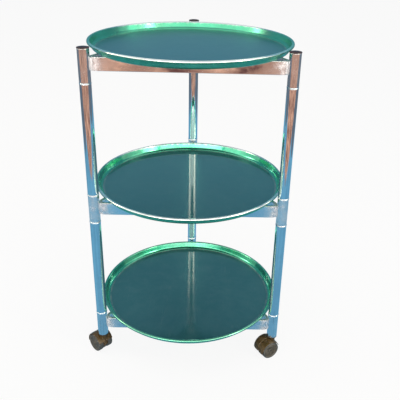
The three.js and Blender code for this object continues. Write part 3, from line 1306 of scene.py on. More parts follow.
TYRE_RUBBER = MouldedPlastic(
    title="grey tyre rubber", body=(0.046, 0.048, 0.044), faded=(0.085, 0.087, 0.080),
    scuffed=(0.17, 0.165, 0.155), dust_amount=0.10, low=0.62, high=0.82, grain_scale=2200.0,
    grain_height=0.04 * MM)


def put(piece: Piece, finish: Finish, body: str, slot: Slot, *nodes: str) -> Piece:
    """Dresses a piece and hangs it on its body.

    Args:
        piece: finished mesh object.
        finish: finish of its whole surface.
        body: CAD body that it rides on.
        slot: material slot of the record; not used.
        nodes: CAD nodes that it stands for.

    Returns:
        The same object.
    """
    piece.data.materials.append(finish.material())
    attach(piece, body)
    if nodes:
        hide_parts(*nodes)
    log.info("%s on %s, %d faces", piece.name, body, len(piece.data.polygons))
    return piece


@dataclass
class Leg:
    """One leg: three posts and two long tubes, joined by couplings and closed by a cap.

    Args:
        side: which leg.
        wall: wall of the tube.
        end_rounding: rounding of the cut tube ends.
        plug_gap: gap between a plug and the tube that it sits in.
        collar_thickness: height of a coupling's collar.
        collar_rounding: rounding of the collar's edges.
        plug_chamfer: rounding of the ends of the plugs.
        cap_brim: height of the cap's straight brim.
        cap_rounding: rounding of the brim.
        cap_steps: faces from the brim to the middle of the cap.
        segments: faces round the leg.
    """

    side: Side
    wall: float = 1.5 * MM
    end_rounding: float = 0.7 * MM
    plug_gap: float = 0.3 * MM
    collar_thickness: float = 2.0 * MM
    collar_rounding: float = 1.0 * MM
    plug_chamfer: float = 1.0 * MM
    cap_brim: float = 1.5 * MM
    cap_rounding: float = 0.7 * MM
    cap_steps: int = 10
    segments: int = 96

    # Pale pink film on the posts of each tier, most on the middle one, and on the long tubes: partly heat
    # and handling, partly a painted highlight that lifts the posts' tone.
    POST_HAZE_AND_HIGHLIGHT = {Tier.LOWER: 0.10, Tier.MIDDLE: 0.46, Tier.TOP: 0.14}
    TUBE_HAZE_AND_HIGHLIGHT = 0.0

    def build(self) -> None:
        """Builds every piece of the leg."""
        for node in self.tube_nodes():
            self.tube(node)
        for node in self.coupling_nodes():
            self.coupling(node)
        self.cap(f"leg_cap_{self.side.value}")

    def tube_nodes(self) -> Iterable[str]:
        """Nodes of the posts and long tubes.

        Yields:
            The next node's name.
        """
        for tier in Tier:
            yield f"{tier.value}_post_{self.side.value}"
        for below, above in zip(list(Tier), list(Tier)[1:]):
            yield f"tube_{below.value}_to_{above.value}_{self.side.value}"

    def coupling_nodes(self) -> Iterable[str]:
        """Nodes of the couplings.

        Yields:
            The next node's name.
        """
        for below, above in zip(list(Tier), list(Tier)[1:]):
            yield f"coupling_over_{below.value}_post_{self.side.value}"
            yield f"coupling_under_{above.value}_post_{self.side.value}"

    def tube(self, node: str) -> None:
        """Chromed tube with rounded ends.

        Args:
            node: CAD node of the post or tube.
        """
        box = Box.of(node)
        outer, inner = box.radius, box.radius - self.wall
        profile = Outline.rounded([
            Corner(inner, box.low.z, self.end_rounding), Corner(outer, box.low.z, self.end_rounding),
            Corner(outer, box.high.z, self.end_rounding), Corner(inner, box.high.z, self.end_rounding),
        ], closed=True)
        piece = Form.turned(f"{node}_chromed", profile, Form.upright(box.axis), self.segments, closed=True)
        tier = next((tier for tier in Tier if node.startswith(f"{tier.value}_post_")), None)
        haze = self.POST_HAZE_AND_HIGHLIGHT.get(tier, self.TUBE_HAZE_AND_HIGHLIGHT)
        # The post's share of the pale film: partly heat tint, partly a painted highlight.
        Form.mark(piece, PolishedChrome.HEAT_AND_HIGHLIGHT_MASK, [haze] * len(piece.data.vertices))
        put(piece, CHROME, STAND, Slot.CHROME, node)

    def coupling(self, node: str) -> None:
        """Collar with rounded edges between two plugs.

        Args:
            node: CAD node of the coupling.
        """
        box = Box.of(node)
        collar = box.radius
        plug = Box.of(f"{Tier.LOWER.value}_post_{self.side.value}").radius - self.wall - self.plug_gap
        middle = (box.low.z + box.high.z) / 2
        bottom, top = middle - self.collar_thickness / 2, middle + self.collar_thickness / 2
        profile = Outline.rounded([
            Corner(0, box.low.z), Corner(plug, box.low.z, self.plug_chamfer), Corner(plug, bottom),
            Corner(collar, bottom, self.collar_rounding), Corner(collar, top, self.collar_rounding),
            Corner(plug, top), Corner(plug, box.high.z, self.plug_chamfer), Corner(0, box.high.z),
        ])
        piece = Form.turned(f"{node}_turned", profile, Form.upright(box.axis), self.segments)
        put(piece, COLLAR, STAND, Slot.COLLAR, node)

    def cap(self, node: str) -> None:
        """Domed cap with a straight brim.

        Args:
            node: CAD node of the cap.
        """
        box = Box.of(node)
        post = Box.of(f"{Tier.TOP.value}_post_{self.side.value}")
        brim, plug, seat = box.radius, post.radius - self.wall - self.plug_gap, post.high.z
        dome = box.high.z - seat - self.cap_brim
        ball = (brim * brim + dome * dome) / (2 * dome)
        reach = math.asin((brim - self.cap_rounding) / ball)
        crown = Outline.arc((0, box.high.z - ball), ball, math.pi / 2 - reach, math.pi / 2, self.cap_steps)
        profile = Outline.rounded([
            Corner(0, box.low.z), Corner(plug, box.low.z, self.plug_chamfer), Corner(plug, seat),
            Corner(brim, seat, self.cap_rounding / 2), Corner(brim, seat + self.cap_brim, self.cap_rounding),
            Corner(*crown[0]),
        ]) + crown[1:-1] + [(0.0, box.high.z)]
        piece = Form.turned(f"{node}_moulded", profile, Form.upright(box.axis), self.segments)
        put(piece, CAP_PLASTIC, STAND, Slot.CAP, node)


@dataclass
class TierFrame:
    """Bent flat bar under a tray, with the brazed joints that hold it to the posts.

    Args:
        tier: which tier.
        thickness: thickness of the bar.
        corner_radius: outer radius of its bends.
        edge_rounding: rounding of the bar's long edges.
        braze_gap: gap between a bend and its post, which the braze fills.
        braze_radius: radius of the braze's hollow flanks.
        braze_short: how far the braze ends short of the bar's edges.
        braze_sink: how far the braze reaches into bar and post.
        braze_taper: width of the braze at its ends, as a share of its full width.
        braze_steps: faces along each hollow flank.
        bend_steps: faces along a bend.
        heat_and_highlight_fade: distances from a bend's end and the strength of the pale mark there, which
            is partly heat tint and partly a painted highlight.
    """

    tier: Tier
    thickness: float = 6.0 * MM
    corner_radius: float = 12.0 * MM
    edge_rounding: float = 0.7 * MM
    braze_gap: float = 0.3 * MM
    braze_radius: float = 2.6 * MM
    braze_short: float = 0.8 * MM
    braze_sink: float = 0.15 * MM
    braze_taper: float = 0.82
    braze_steps: int = 8
    bend_steps: int = 28
    heat_and_highlight_fade: tuple[Point, ...] = (
        (4 * MM, 0.75), (10 * MM, 0.35), (24 * MM, 0.12), (44 * MM, 0.0))

    def build(self) -> None:
        """Builds the bar and its three brazed joints."""
        self.bar()
        for side in Side:
            self.braze(side)

    @property
    def node(self) -> str:
        """CAD node of the bar."""
        return f"{self.tier.value}_tier_frame"

    def post(self, side: Side) -> Box:
        """Post that a corner of the bar is brazed to.

        Args:
            side: which leg.

        Returns:
            The post's box.
        """
        return Box.of(f"{self.tier.value}_post_{side.value}")

    def centre(self) -> Vector:
        """Axis of the trolley, which is the middle of the three legs."""
        return sum((self.post(side).axis for side in Side), Vector()) / len(Side)

    def bend_centre(self, side: Side) -> tuple[Vector, float]:
        """Middle of a bend, and the direction in which it points.

        Args:
            side: which leg the bend points at.

        Returns:
            The bend's centre on the floor and its azimuth in radians.
        """
        post = self.post(side)
        outward = post.axis - self.centre()
        reach = outward.length - post.radius - self.braze_gap - self.corner_radius
        return self.centre() + outward.normalized() * reach, math.atan2(outward.y, outward.x)

    def bar(self) -> None:
        """The bar itself, swept round the triangle."""
        box = Box.of(self.node)
        section = Outline.rounded([
            Corner(0, box.low.z, self.edge_rounding), Corner(0, box.high.z, self.edge_rounding),
            Corner(-self.thickness, box.high.z, self.edge_rounding),
            Corner(-self.thickness, box.low.z, self.edge_rounding),
        ], closed=True)
        half_bend = math.pi / len(Side)
        bends = sorted((self.bend_centre(side) for side in Side), key=lambda bend: bend[1])
        sections: list[list[Vector]] = []
        heat: list[float] = []
        for middle, azimuth in bends:
            for turned, straight, warmth in self.stations(half_bend):
                angle = azimuth + turned
                outward = Vector((math.cos(angle), math.sin(angle), 0))
                along = Vector((-math.sin(angle), math.cos(angle), 0)) * straight
                face = middle + outward * self.corner_radius + along
                sections.append([
                    face + outward * depth + Vector((0, 0, height)) for depth, height in section])
                heat.extend([warmth] * len(section))
        piece = Form.swept(f"{self.node}_chromed", sections, looped=True)
        # Pale mark fading from each bend along the bar: partly heat tint, partly a painted highlight on the
        # bends.
        Form.mark(piece, PolishedChrome.HEAT_AND_HIGHLIGHT_MASK, heat)
        put(piece, BAR_CHROME, STAND, Slot.CHROME, self.node)

    def stations(self, half_bend: float) -> Iterable[tuple[float, float, float]]:
        """Places of the sections at one bend and on the straights beside it.

        Args:
            half_bend: half of the bend's angle.

        Yields:
            Angle from the middle of the bend, distance along the straight and strength of the pale mark,
            partly heat tint and partly painted highlight.
        """
        for reach, warmth in reversed(self.heat_and_highlight_fade):
            yield -half_bend, -reach, warmth
        for step in range(self.bend_steps + 1):
            yield half_bend * (2 * step / self.bend_steps - 1), 0.0, 1.0
        for reach, warmth in self.heat_and_highlight_fade:
            yield half_bend, reach, warmth

    def braze(self, side: Side) -> None:
        """Braze between a bend and its post: an upright strip with hollow flanks.

        Args:
            side: which leg.
        """
        box = Box.of(self.node)
        bend, azimuth = self.bend_centre(side)
        post = self.post(side)
        spacing = (post.axis - bend).length
        near, far = self.corner_radius + self.braze_radius, post.radius + self.braze_radius
        along = (near * near - far * far + spacing * spacing) / (2 * spacing)
        across = math.sqrt(near * near - along * along)
        flank = Vector((along, across))
        to_bend = math.atan2(-across, -along)
        to_post = math.atan2(-across, spacing - along)
        curve = Outline.arc((flank.x, flank.y), self.braze_radius, to_bend, to_post, self.braze_steps)
        hollow = [Vector(p) for p in curve]
        bend_side, post_side = hollow[0], hollow[-1]
        bend_root = bend_side * ((self.corner_radius - self.braze_sink) / bend_side.length)
        post_way = post_side - Vector((spacing, 0))
        post_root = Vector((spacing, 0)) + post_way * ((post.radius - self.braze_sink) / post_way.length)
        half = [bend_root, *hollow, post_root]
        outline = half + [Vector((p.x, -p.y)) for p in reversed(half)]
        turn = Matrix.Rotation(azimuth, 3, "Z")
        levels = [
            (box.low.z + self.braze_short, self.braze_taper), (box.low.z + 2 * self.braze_short, 1.0),
            (box.high.z - 2 * self.braze_short, 1.0), (box.high.z - self.braze_short, self.braze_taper),
        ]
        sections = [
            [bend + turn @ Vector((p.x, p.y * share, 0)) + Vector((0, 0, height)) for p in outline]
            for height, share in levels
        ]
        piece = Form.swept(f"{self.tier.value}_braze_{side.value}", sections, looped=False)
        # The whole braze takes the pale mark: partly heat tint, partly a painted highlight.
        Form.mark(piece, PolishedChrome.HEAT_AND_HIGHLIGHT_MASK, [1.0] * len(piece.data.vertices))
        put(piece, BRAZE, STAND, Slot.CHROME)


@dataclass
class Tray:
    """Loose round tray: flat floor, leaning wall and a hem rolled outward into a bead.

    Args:
        tier: which tier it lies on.
        finish: finish of the whole tray.
        sheet: thickness of the sheet.
        fold_radius: inner radius of the cove between floor and wall.
        wall_flare: foot of the wall to the middle of the bead, measured level.
        bead: diameter of the rolled hem.
        hem_turn: how far the hem is rolled, in degrees.
        fold_steps: faces across the cove.
        hem_steps: faces round the hem.
        segments: faces round the tray.
        floor_ring_shares: places of the rings of the floor, as shares of its radius.
    """

    tier: Tier
    finish: Finish
    sheet: float = 1.2 * MM
    fold_radius: float = 8.0 * MM
    wall_flare: float = 6.5 * MM
    bead: float = 6.0 * MM
    hem_turn: float = 285.0
    fold_steps: int = 16
    hem_steps: int = 30
    segments: int = 288
    floor_ring_shares: tuple[float, ...] = (0.12, 0.3, 0.5, 0.7, 0.86, 0.95, 0.985)

    FLOOR_MASK = "floor"
    CREST_MASK = "crest"
    FOLD_MASK = "fold"
    # The rubbed crest of the bead: its reach and lean round the bead, how flat its middle is,
    # and how much less of it there is at the sides of the tray.
    CREST_HALF_ANGLE = math.radians(116)
    CREST_LEAN = math.radians(80)
    CREST_PLATEAU = 1.5
    SIDE_LOSS = 0.62
    SIDE_SHARPNESS = 4
    FOLD_BAND_WIDTH = 2.5 * MM

    @property
    def node(self) -> str:
        """CAD node of the tray."""
        return f"{self.tier.value}_tray"

    def build(self) -> None:
        """Builds the tray and marks its floor, its fold and the crest of its bead."""
        box = Box.of(self.node)
        line, fold_start = self.middle_line(box)
        profile = self.thickened(line)
        piece = Form.turned(f"{self.node}_dish", profile, Form.upright(box.axis), self.segments)
        bead_r, bead_z = box.radius - self.bead / 2, box.high.z - self.bead / 2
        floor: list[float] = []
        fold: list[float] = []
        crest: list[float] = []
        for vertex in piece.data.vertices:
            reach = (Vector((vertex.co.x, vertex.co.y, 0)) - box.axis).length
            height = vertex.co.z - box.low.z
            floor.append(1.0 if reach < fold_start + self.FOLD_BAND_WIDTH else 0.0)
            in_fold = abs(reach - fold_start) < self.FOLD_BAND_WIDTH and height > self.sheet / 2
            fold.append(1.0 if in_fold else 0.0)
            out, up = reach - bead_r, vertex.co.z - bead_z
            off_crest = abs(math.atan2(up, out) - self.CREST_LEAN)
            on_bead = math.hypot(out, up) > self.bead / 2 - self.sheet / 2
            rubbed = self.rubbing(math.atan2(vertex.co.y - box.axis.y, vertex.co.x - box.axis.x))
            share = min(1.0, self.CREST_PLATEAU * max(0.0, 1.0 - off_crest / self.CREST_HALF_ANGLE))
            crest.append(rubbed * share if on_bead else 0.0)
        Form.mark(piece, self.FLOOR_MASK, floor)
        Form.mark(piece, self.FOLD_MASK, fold)
        Form.mark(piece, self.CREST_MASK, crest)
        put(piece, self.finish, self.node, Slot.TRAY, self.node)

    def rubbing(self, azimuth: float) -> float:
        """How much of the bead's crest hands have rubbed at one place of the rim.

        Args:
            azimuth: direction from the tray's axis, in radians.

        Returns:
            1 at the front and the back, where the tray is taken hold of, and less at the sides.
        """
        return 1.0 - self.SIDE_LOSS * math.cos(azimuth) ** self.SIDE_SHARPNESS

    def middle_line(self, box: Box) -> tuple[list[Point], float]:
        """Middle line of the sheet, from the tray's axis to the end of the hem.

        Args:
            box: box of the CAD node.

        Returns:
            The line's points and the radius where the fold starts.
        """
        half = self.sheet / 2
        curl = self.bead / 2 - half
        bead_r, bead_z = box.radius - self.bead / 2, box.high.z - self.bead / 2
        level = box.low.z + half
        rise = bead_z - level
        lean = math.atan2(rise, self.wall_flare) + math.asin(curl / math.hypot(rise, self.wall_flare))
        bend = self.fold_radius + half
        fold_start = bead_r - self.wall_flare - bend * math.tan(lean / 2)
        down = -math.pi / 2
        fold = Outline.arc((fold_start, level + bend), bend, down, down + lean, self.fold_steps)
        hem_start = lean + math.pi / 2
        hem_end = hem_start - math.radians(self.hem_turn)
        hem = Outline.arc((bead_r, bead_z), curl, hem_start, hem_end, self.hem_steps)
        floor = [(fold_start * share, level) for share in (0.0, *self.floor_ring_shares)]
        return floor + fold + hem, fold_start

    def thickened(self, line: Sequence[Point]) -> list[Point]:
        """Both faces of the sheet round its middle line.

        Args:
            line: points of the middle line.

        Returns:
            Profile from the axis along the underside and back along the top face.
        """
        points = [Vector(p) for p in line]
        under: list[Point] = []
        over: list[Point] = []
        for i, point in enumerate(points):
            ahead = points[min(i + 1, len(points) - 1)] - points[max(i - 1, 0)]
            side = Vector((-ahead.y, ahead.x)).normalized() * (self.sheet / 2)
            if i == 0:
                side = Vector((0, self.sheet / 2))
            under.append((point.x - side.x, point.y - side.y))
            over.append((point.x + side.x, point.y + side.y))
        return under + list(reversed(over))


class Edge:
    """Radii of the small roundings on the pieces of a caster."""

    CRISP = 0.1 * MM
    SHARP = 0.2 * MM
    FINE = 0.3 * MM
    EASED = 0.4 * MM
    CHAMFERED = 0.5 * MM
    BLUNT = 0.6 * MM
    SOFT = 0.8 * MM
    LIP = 0.9 * MM
    ROUND = 1.0 * MM
    FULL = 1.2 * MM
    SHOULDER = 1.8 * MM
    CROWN = 5.0 * MM


class WheelFace(Enum):
    """Relief of a wheel's outer face: each corner's radius, depth below the caster's side and rounding."""

    CROWN = Corner(0, 0.25 * MM)
    CAP = Corner(4.2 * MM, 0.35 * MM, Edge.ROUND)
    GROOVE_INNER = Corner(4.8 * MM, 1.3 * MM, Edge.FINE)
    GROOVE_OUTER = Corner(6.0 * MM, 1.3 * MM, Edge.FINE)
    DISH_INNER = Corner(6.8 * MM, 0.7 * MM, Edge.BLUNT)
    DISH_OUTER = Corner(13.2 * MM, 0.35 * MM, Edge.SOFT)
    STEP = Corner(14.0 * MM, 0.9 * MM, Edge.FINE)
    BEAD = Corner(14.8 * MM, 0.1 * MM, Edge.CHAMFERED)


@dataclass
class Caster:
    """Hooded caster with two wheels on one axle, and its stem and socket in the leg.

    Args:
        side: which leg it carries.
        width: overall width along the axle.
        spine: width of the wall between the wheels.
        wheel_radius: rolling radius.
        seat_depth: side of the caster to the wheel's edge at the tyre.
        tyre_thickness: tread to the tyre's seat.
        tyre_inset: side of the caster to the tyre.
        tread_fall: how much lower the tread is at its shoulders.
        shoulder: width and rounding of a shoulder.
        seam_half_width: half width of the groove at the moulding line.
        seam_depth: depth of that groove.
        rim_wall: wall of the wheel under the tyre.
        hub_radius: outer radius of the hub.
        axle_radius: radius of the axle.
        web: side of the caster to the back of the wheel's web.
        face: side of the caster to the blind end of the hub's bore.
        fit: gap between pieces that sit in each other.
        side_gap: gap beside a wheel and at the ends of the axle.
        hood_wall: wall of the hood.
        wheel_gap: tyre to the inside of the hood.
        boss_radius: radius of the spine about the axle.
        neck_radius: radius of the neck.
        neck_fillet: radius of the flare at its foot.
        neck_sink: how far the flare reaches into the hood.
        mouth_radius: radius of the recess round the stem.
        mouth_depth: depth of that recess.
        groove_width: width of the groove along the hood's top.
        groove_depth: depth of that groove.
        groove_floor_share: width of its floor, as a share of its own.
        crown_share: where a cover starts to fall, as a share of the half width.
        shoulder_drop: how much lower the covers are at their sides.
        hood_start: trailing end of the hood, in degrees round the axle.
        hood_end: its leading end.
        cover_steps: faces from one end to the other.
        core_radius: least radius of the cover's section.
        voxel: size of the cells that join the hood to one skin.
        smoothing: strength of a round of smoothing.
        smoothing_rounds: rounds of it.
        tube_wall: wall of the leg's tube.
        stem_radius: radius of the stem.
        stem_collar: thickness of the stem's load collar.
        segments: faces round a turned piece.
        place: places of the swivel and the axle, read from the frame.
    """

    side: Side
    width: float = 35.0 * MM
    spine: float = 11.0 * MM
    wheel_radius: float = 20.0 * MM
    seat_depth: float = 0.2 * MM
    tyre_thickness: float = 3.5 * MM
    tyre_inset: float = 0.1 * MM
    tread_fall: float = 0.3 * MM
    shoulder: float = 3.0 * MM
    seam_half_width: float = 0.3 * MM
    seam_depth: float = 0.25 * MM
    rim_wall: float = 3.4 * MM
    hub_radius: float = 5.5 * MM
    axle_radius: float = 3.0 * MM
    web: float = 3.0 * MM
    face: float = 2.5 * MM
    fit: float = 0.3 * MM
    side_gap: float = 0.5 * MM
    hood_wall: float = 1.8 * MM
    wheel_gap: float = 1.2 * MM
    boss_radius: float = 19.0 * MM
    neck_radius: float = 7.5 * MM
    neck_fillet: float = 2.6 * MM
    neck_sink: float = 1.4 * MM
    mouth_radius: float = 4.6 * MM
    mouth_depth: float = 2.0 * MM
    groove_width: float = 3.6 * MM
    groove_depth: float = 1.3 * MM
    groove_floor_share: float = 0.5
    crown_share: float = 0.62
    shoulder_drop: float = 0.9 * MM
    hood_start: float = -12.0
    hood_end: float = 158.0
    cover_steps: int = 64
    core_radius: float = 0.05 * MM
    voxel: float = 0.45 * MM
    smoothing: float = 0.5
    smoothing_rounds: int = 6
    tube_wall: float = 1.5 * MM
    stem_radius: float = 4.0 * MM
    stem_collar: float = 1.2 * MM
    segments: int = 72
    place: dict[str, Vector] = field(default_factory=dict)

    def __post_init__(self) -> None:
        """Reads the swivel's and the axle's places from the frame's joints."""
        for joint in frame["joints"]:
            if joint["name"] == f"caster_swivel_{self.side.value}":
                self.place["swivel"] = Vector(joint["pos_m"])
            if joint["name"] == f"wheel_spin_a_{self.side.value}":
                self.place["axle"] = Vector(joint["pos_m"])
                self.place["along"] = Vector(joint["axis"]).normalized()

    @property
    def body(self) -> str:
        """Body of the swivelling part."""
        return f"caster_{self.side.value}"

    @property
    def trailing(self) -> Vector:
        """Level direction from the swivel axis to the axle."""
        way = self.place["axle"] - self.place["swivel"]
        return Vector((way.x, way.y, 0)).normalized()

    @property
    def hood_radius(self) -> float:
        """Outer radius of the hood round the axle."""
        return self.wheel_radius + self.wheel_gap + self.hood_wall

    def build(self) -> None:
        """Builds every piece of the caster."""
        self.socket()
        self.stem()
        self.hood()
        self.axle()
        for wheel in WheelPlace:
            self.wheel(wheel)
            self.tyre(wheel)

    def on_axle(self, outward: float = 1.0, origin: float = 0.0) -> Placement:
        """Placement of pieces turned about the axle.

        Args:
            outward: -1 or 1, direction along the axle in which heights count.
            origin: distance along the axle at which height 0 lies, before the direction is applied.

        Returns:
            Function from radius, angle and height to a place.
        """
        centre, along, trailing = self.place["axle"], self.place["along"], self.trailing
        up = Vector((0, 0, 1))

        def place(radius: float, angle: float, height: float) -> Vector:
            """Place of one point of the turned piece."""
            ring = trailing * (radius * math.cos(angle)) + up * (radius * math.sin(angle))
            return centre + ring + along * (outward * (origin + height))
        return place

    def socket(self) -> None:
        """Bush in the foot of the leg, with a rounded flange."""
        node = f"caster_socket_{self.side.value}"
        box = Box.of(node)
        stem = Box.of(f"caster_stem_{self.side.value}")
        post = Box.of(f"lower_post_{self.side.value}")
        bore = self.stem_radius + self.fit
        plug = post.radius - self.tube_wall - self.fit
        flange_top = post.low.z
        profile = Outline.rounded([
            Corner(bore, box.low.z, Edge.EASED), Corner(box.radius, box.low.z, Edge.BLUNT),
            Corner(box.radius, flange_top, Edge.SHARP), Corner(plug, flange_top),
            Corner(plug, box.high.z, Edge.SOFT), Corner(bore, box.high.z, Edge.EASED),
        ], closed=True)
        piece = Form.turned(f"{node}_moulded", profile, Form.upright(stem.axis), self.segments, closed=True)
        put(piece, SOCKET_PLASTIC, STAND, Slot.SOCKET, node)

    def stem(self) -> None:
        """Steel stem with its load collar."""
        node = f"caster_stem_{self.side.value}"
        box = Box.of(node)
        socket = Box.of(f"caster_socket_{self.side.value}")
        collar_top = socket.low.z - self.fit
        collar_bottom = collar_top - self.stem_collar
        radius = self.stem_radius
        profile = Outline.rounded([
            Corner(0, box.low.z), Corner(radius, box.low.z, Edge.SOFT), Corner(radius, collar_bottom),
            Corner(box.radius, collar_bottom, Edge.FINE), Corner(box.radius, collar_top, Edge.FINE),
            Corner(radius, collar_top), Corner(radius, box.high.z, Edge.FULL), Corner(0, box.high.z),
        ])
        piece = Form.turned(f"{node}_drawn", profile, Form.upright(box.axis), self.segments)
        put(piece, STEEL, STAND, Slot.STEEL, node)

    def hood(self) -> None:
        """Moulded body: two crowned covers with a groove between them, the spine and the neck."""
        name = f"caster_hood_{self.side.value}_moulded"
        shells = [self.cover(), self.boss(), self.neck()]
        joined = bmesh.new()
        for shell in shells:
            joined.from_mesh(shell.data)
            bpy.data.objects.remove(shell)
        mesh = bpy.data.meshes.new(name)
        joined.to_mesh(mesh)
        joined.free()
        block = bpy.data.objects.new(name, mesh)
        bpy.context.scene.collection.objects.link(block)
        remesh = block.modifiers.new("one skin", "REMESH")
        remesh.mode = "VOXEL"
        remesh.voxel_size = self.voxel
        smooth = block.modifiers.new("soft edges", "SMOOTH")
        smooth.factor = self.smoothing
        smooth.iterations = self.smoothing_rounds
        graph = bpy.context.evaluated_depsgraph_get()
        moulded = bpy.data.meshes.new_from_object(block.evaluated_get(graph))
        block.modifiers.clear()
        block.data = moulded
        put(Form.finished(block), HOOD_PLASTIC, self.body, Slot.HOOD, f"caster_hood_{self.side.value}")

    def cover(self) -> Piece:
        """Covers of both wheels and the spine between them, as one section swung round the axle.

        Returns:
            The covers.
        """
        outer, inner = self.hood_radius, self.wheel_radius + self.wheel_gap
        half, spine = self.width / 2, self.spine / 2
        lip = self.groove_width / 2
        right = [
            Corner(0, outer - self.groove_depth),
            Corner(lip * self.groove_floor_share, outer - self.groove_depth, Edge.BLUNT),
            Corner(lip, outer, Edge.LIP), Corner(half * self.crown_share, outer, Edge.CROWN),
            Corner(half, outer - self.shoulder_drop, Edge.SOFT), Corner(half, inner, Edge.EASED),
            Corner(spine, inner, Edge.FULL), Corner(spine, 0),
        ]
        path = Outline.rounded(right)
        loop = path + [(-x, r) for x, r in reversed(path) if x > Form.ON_AXIS]
        start, end = math.radians(self.hood_start), math.radians(self.hood_end)
        steps = self.cover_steps
        place = self.on_axle()
        sections = [
            [place(max(r, self.core_radius), start + (end - start) * i / steps, x) for x, r in loop]
            for i in range(steps + 1)
        ]
        return Form.swept("hood cover", sections, looped=False)

    def boss(self) -> Piece:
        """Round boss of the spine about the axle.

        Returns:
            The boss.
        """
        spine = self.spine / 2
        profile = Outline.rounded([
            Corner(0, -spine), Corner(self.boss_radius, -spine, Edge.SOFT),
            Corner(self.boss_radius, spine, Edge.SOFT), Corner(0, spine),
        ])
        return Form.turned("hood boss", profile, self.on_axle(), self.segments)

    def neck(self) -> Piece:
        """Neck for the stem, flared where it meets the covers.

        Returns:
            The neck.
        """
        top = self.place["swivel"].z
        bottom = self.wheel_radius + self.wheel_gap
        foot = self.hood_radius - self.neck_sink
        flare = self.neck_radius + self.neck_fillet
        profile = Outline.rounded([
            Corner(0, bottom), Corner(flare, bottom), Corner(flare, foot),
            Corner(self.neck_radius, foot + self.neck_fillet, self.neck_fillet),
            Corner(self.neck_radius, top, Edge.SOFT), Corner(self.mouth_radius, top, Edge.EASED),
            Corner(self.mouth_radius, top - self.mouth_depth), Corner(0, top - self.mouth_depth),
        ])
        swivel = self.place["swivel"]
        axis = Vector((swivel.x, swivel.y, 0))
        return Form.turned("hood neck", profile, Form.upright(axis), self.segments)

    def axle(self) -> None:
        """Steel pin with chamfered ends."""
        node = f"caster_axle_{self.side.value}"
        end = self.width / 2 - self.face - self.side_gap
        profile = Outline.rounded([
            Corner(0, -end), Corner(self.axle_radius, -end, Edge.CHAMFERED),
            Corner(self.axle_radius, end, Edge.CHAMFERED), Corner(0, end),
        ])
        piece = Form.turned(f"{node}_drawn", profile, self.on_axle(), self.segments)
        put(piece, STEEL, self.body, Slot.STEEL, node)

    def wheel_width(self) -> float:
        """Width of one wheel."""
        return self.width / 2 - self.spine / 2 - self.side_gap

    def wheel(self, wheel: WheelPlace) -> None:
        """Moulded wheel: a raised hub cap in a dished face, and a hollow back.

        Args:
            wheel: which of the two.
        """
        node = f"wheel_{wheel.letter}_{self.side.value}"
        seat = self.wheel_radius - self.tyre_thickness
        dish = seat - self.rim_wall
        bore = self.axle_radius + self.fit
        wide = self.wheel_width()
        back = [
            Corner(seat, self.seat_depth, Edge.EASED), Corner(seat, wide, Edge.EASED),
            Corner(dish, wide, Edge.EASED), Corner(dish, self.web, Edge.ROUND),
            Corner(self.hub_radius, self.web, Edge.ROUND), Corner(self.hub_radius, wide, Edge.EASED),
            Corner(bore, wide, Edge.FINE), Corner(bore, self.face), Corner(0, self.face),
        ]
        profile = Outline.rounded([corner.value for corner in WheelFace] + back)
        place = self.on_axle(-wheel.outward, -self.width / 2)
        piece = Form.turned(f"{node}_moulded", profile, place, self.segments)
        put(piece, WHEEL_PLASTIC, f"wheel_{wheel.letter}_{self.side.value}", Slot.WHEEL, node)

    def tyre(self, wheel: WheelPlace) -> None:
        """Rubber tyre with rounded shoulders and a shallow groove at its moulding line.

        Args:
            wheel: which of the two.
        """
        node = f"tyre_{wheel.letter}_{self.side.value}"
        wide = self.wheel_width()
        bore = self.wheel_radius - self.tyre_thickness + self.fit
        tread, fallen = self.wheel_radius, self.wheel_radius - self.tread_fall
        middle, seam = wide / 2, self.seam_half_width
        profile = Outline.rounded([
            Corner(bore, self.tyre_inset, Edge.FINE), Corner(fallen, self.tyre_inset, Edge.SHOULDER),
            Corner(tread, self.shoulder, self.shoulder), Corner(tread, middle - seam, Edge.CRISP),
            Corner(tread - self.seam_depth, middle, Edge.CRISP), Corner(tread, middle + seam, Edge.CRISP),
            Corner(tread, wide - self.shoulder, self.shoulder), Corner(fallen, wide, Edge.SHOULDER),
            Corner(bore, wide, Edge.FINE),
        ], closed=True)
        place = self.on_axle(-wheel.outward, -self.width / 2)
        piece = Form.turned(f"{node}_rubber", profile, place, self.segments * 2, closed=True)
        put(piece, TYRE_RUBBER, f"wheel_{wheel.letter}_{self.side.value}", Slot.TYRE, node)


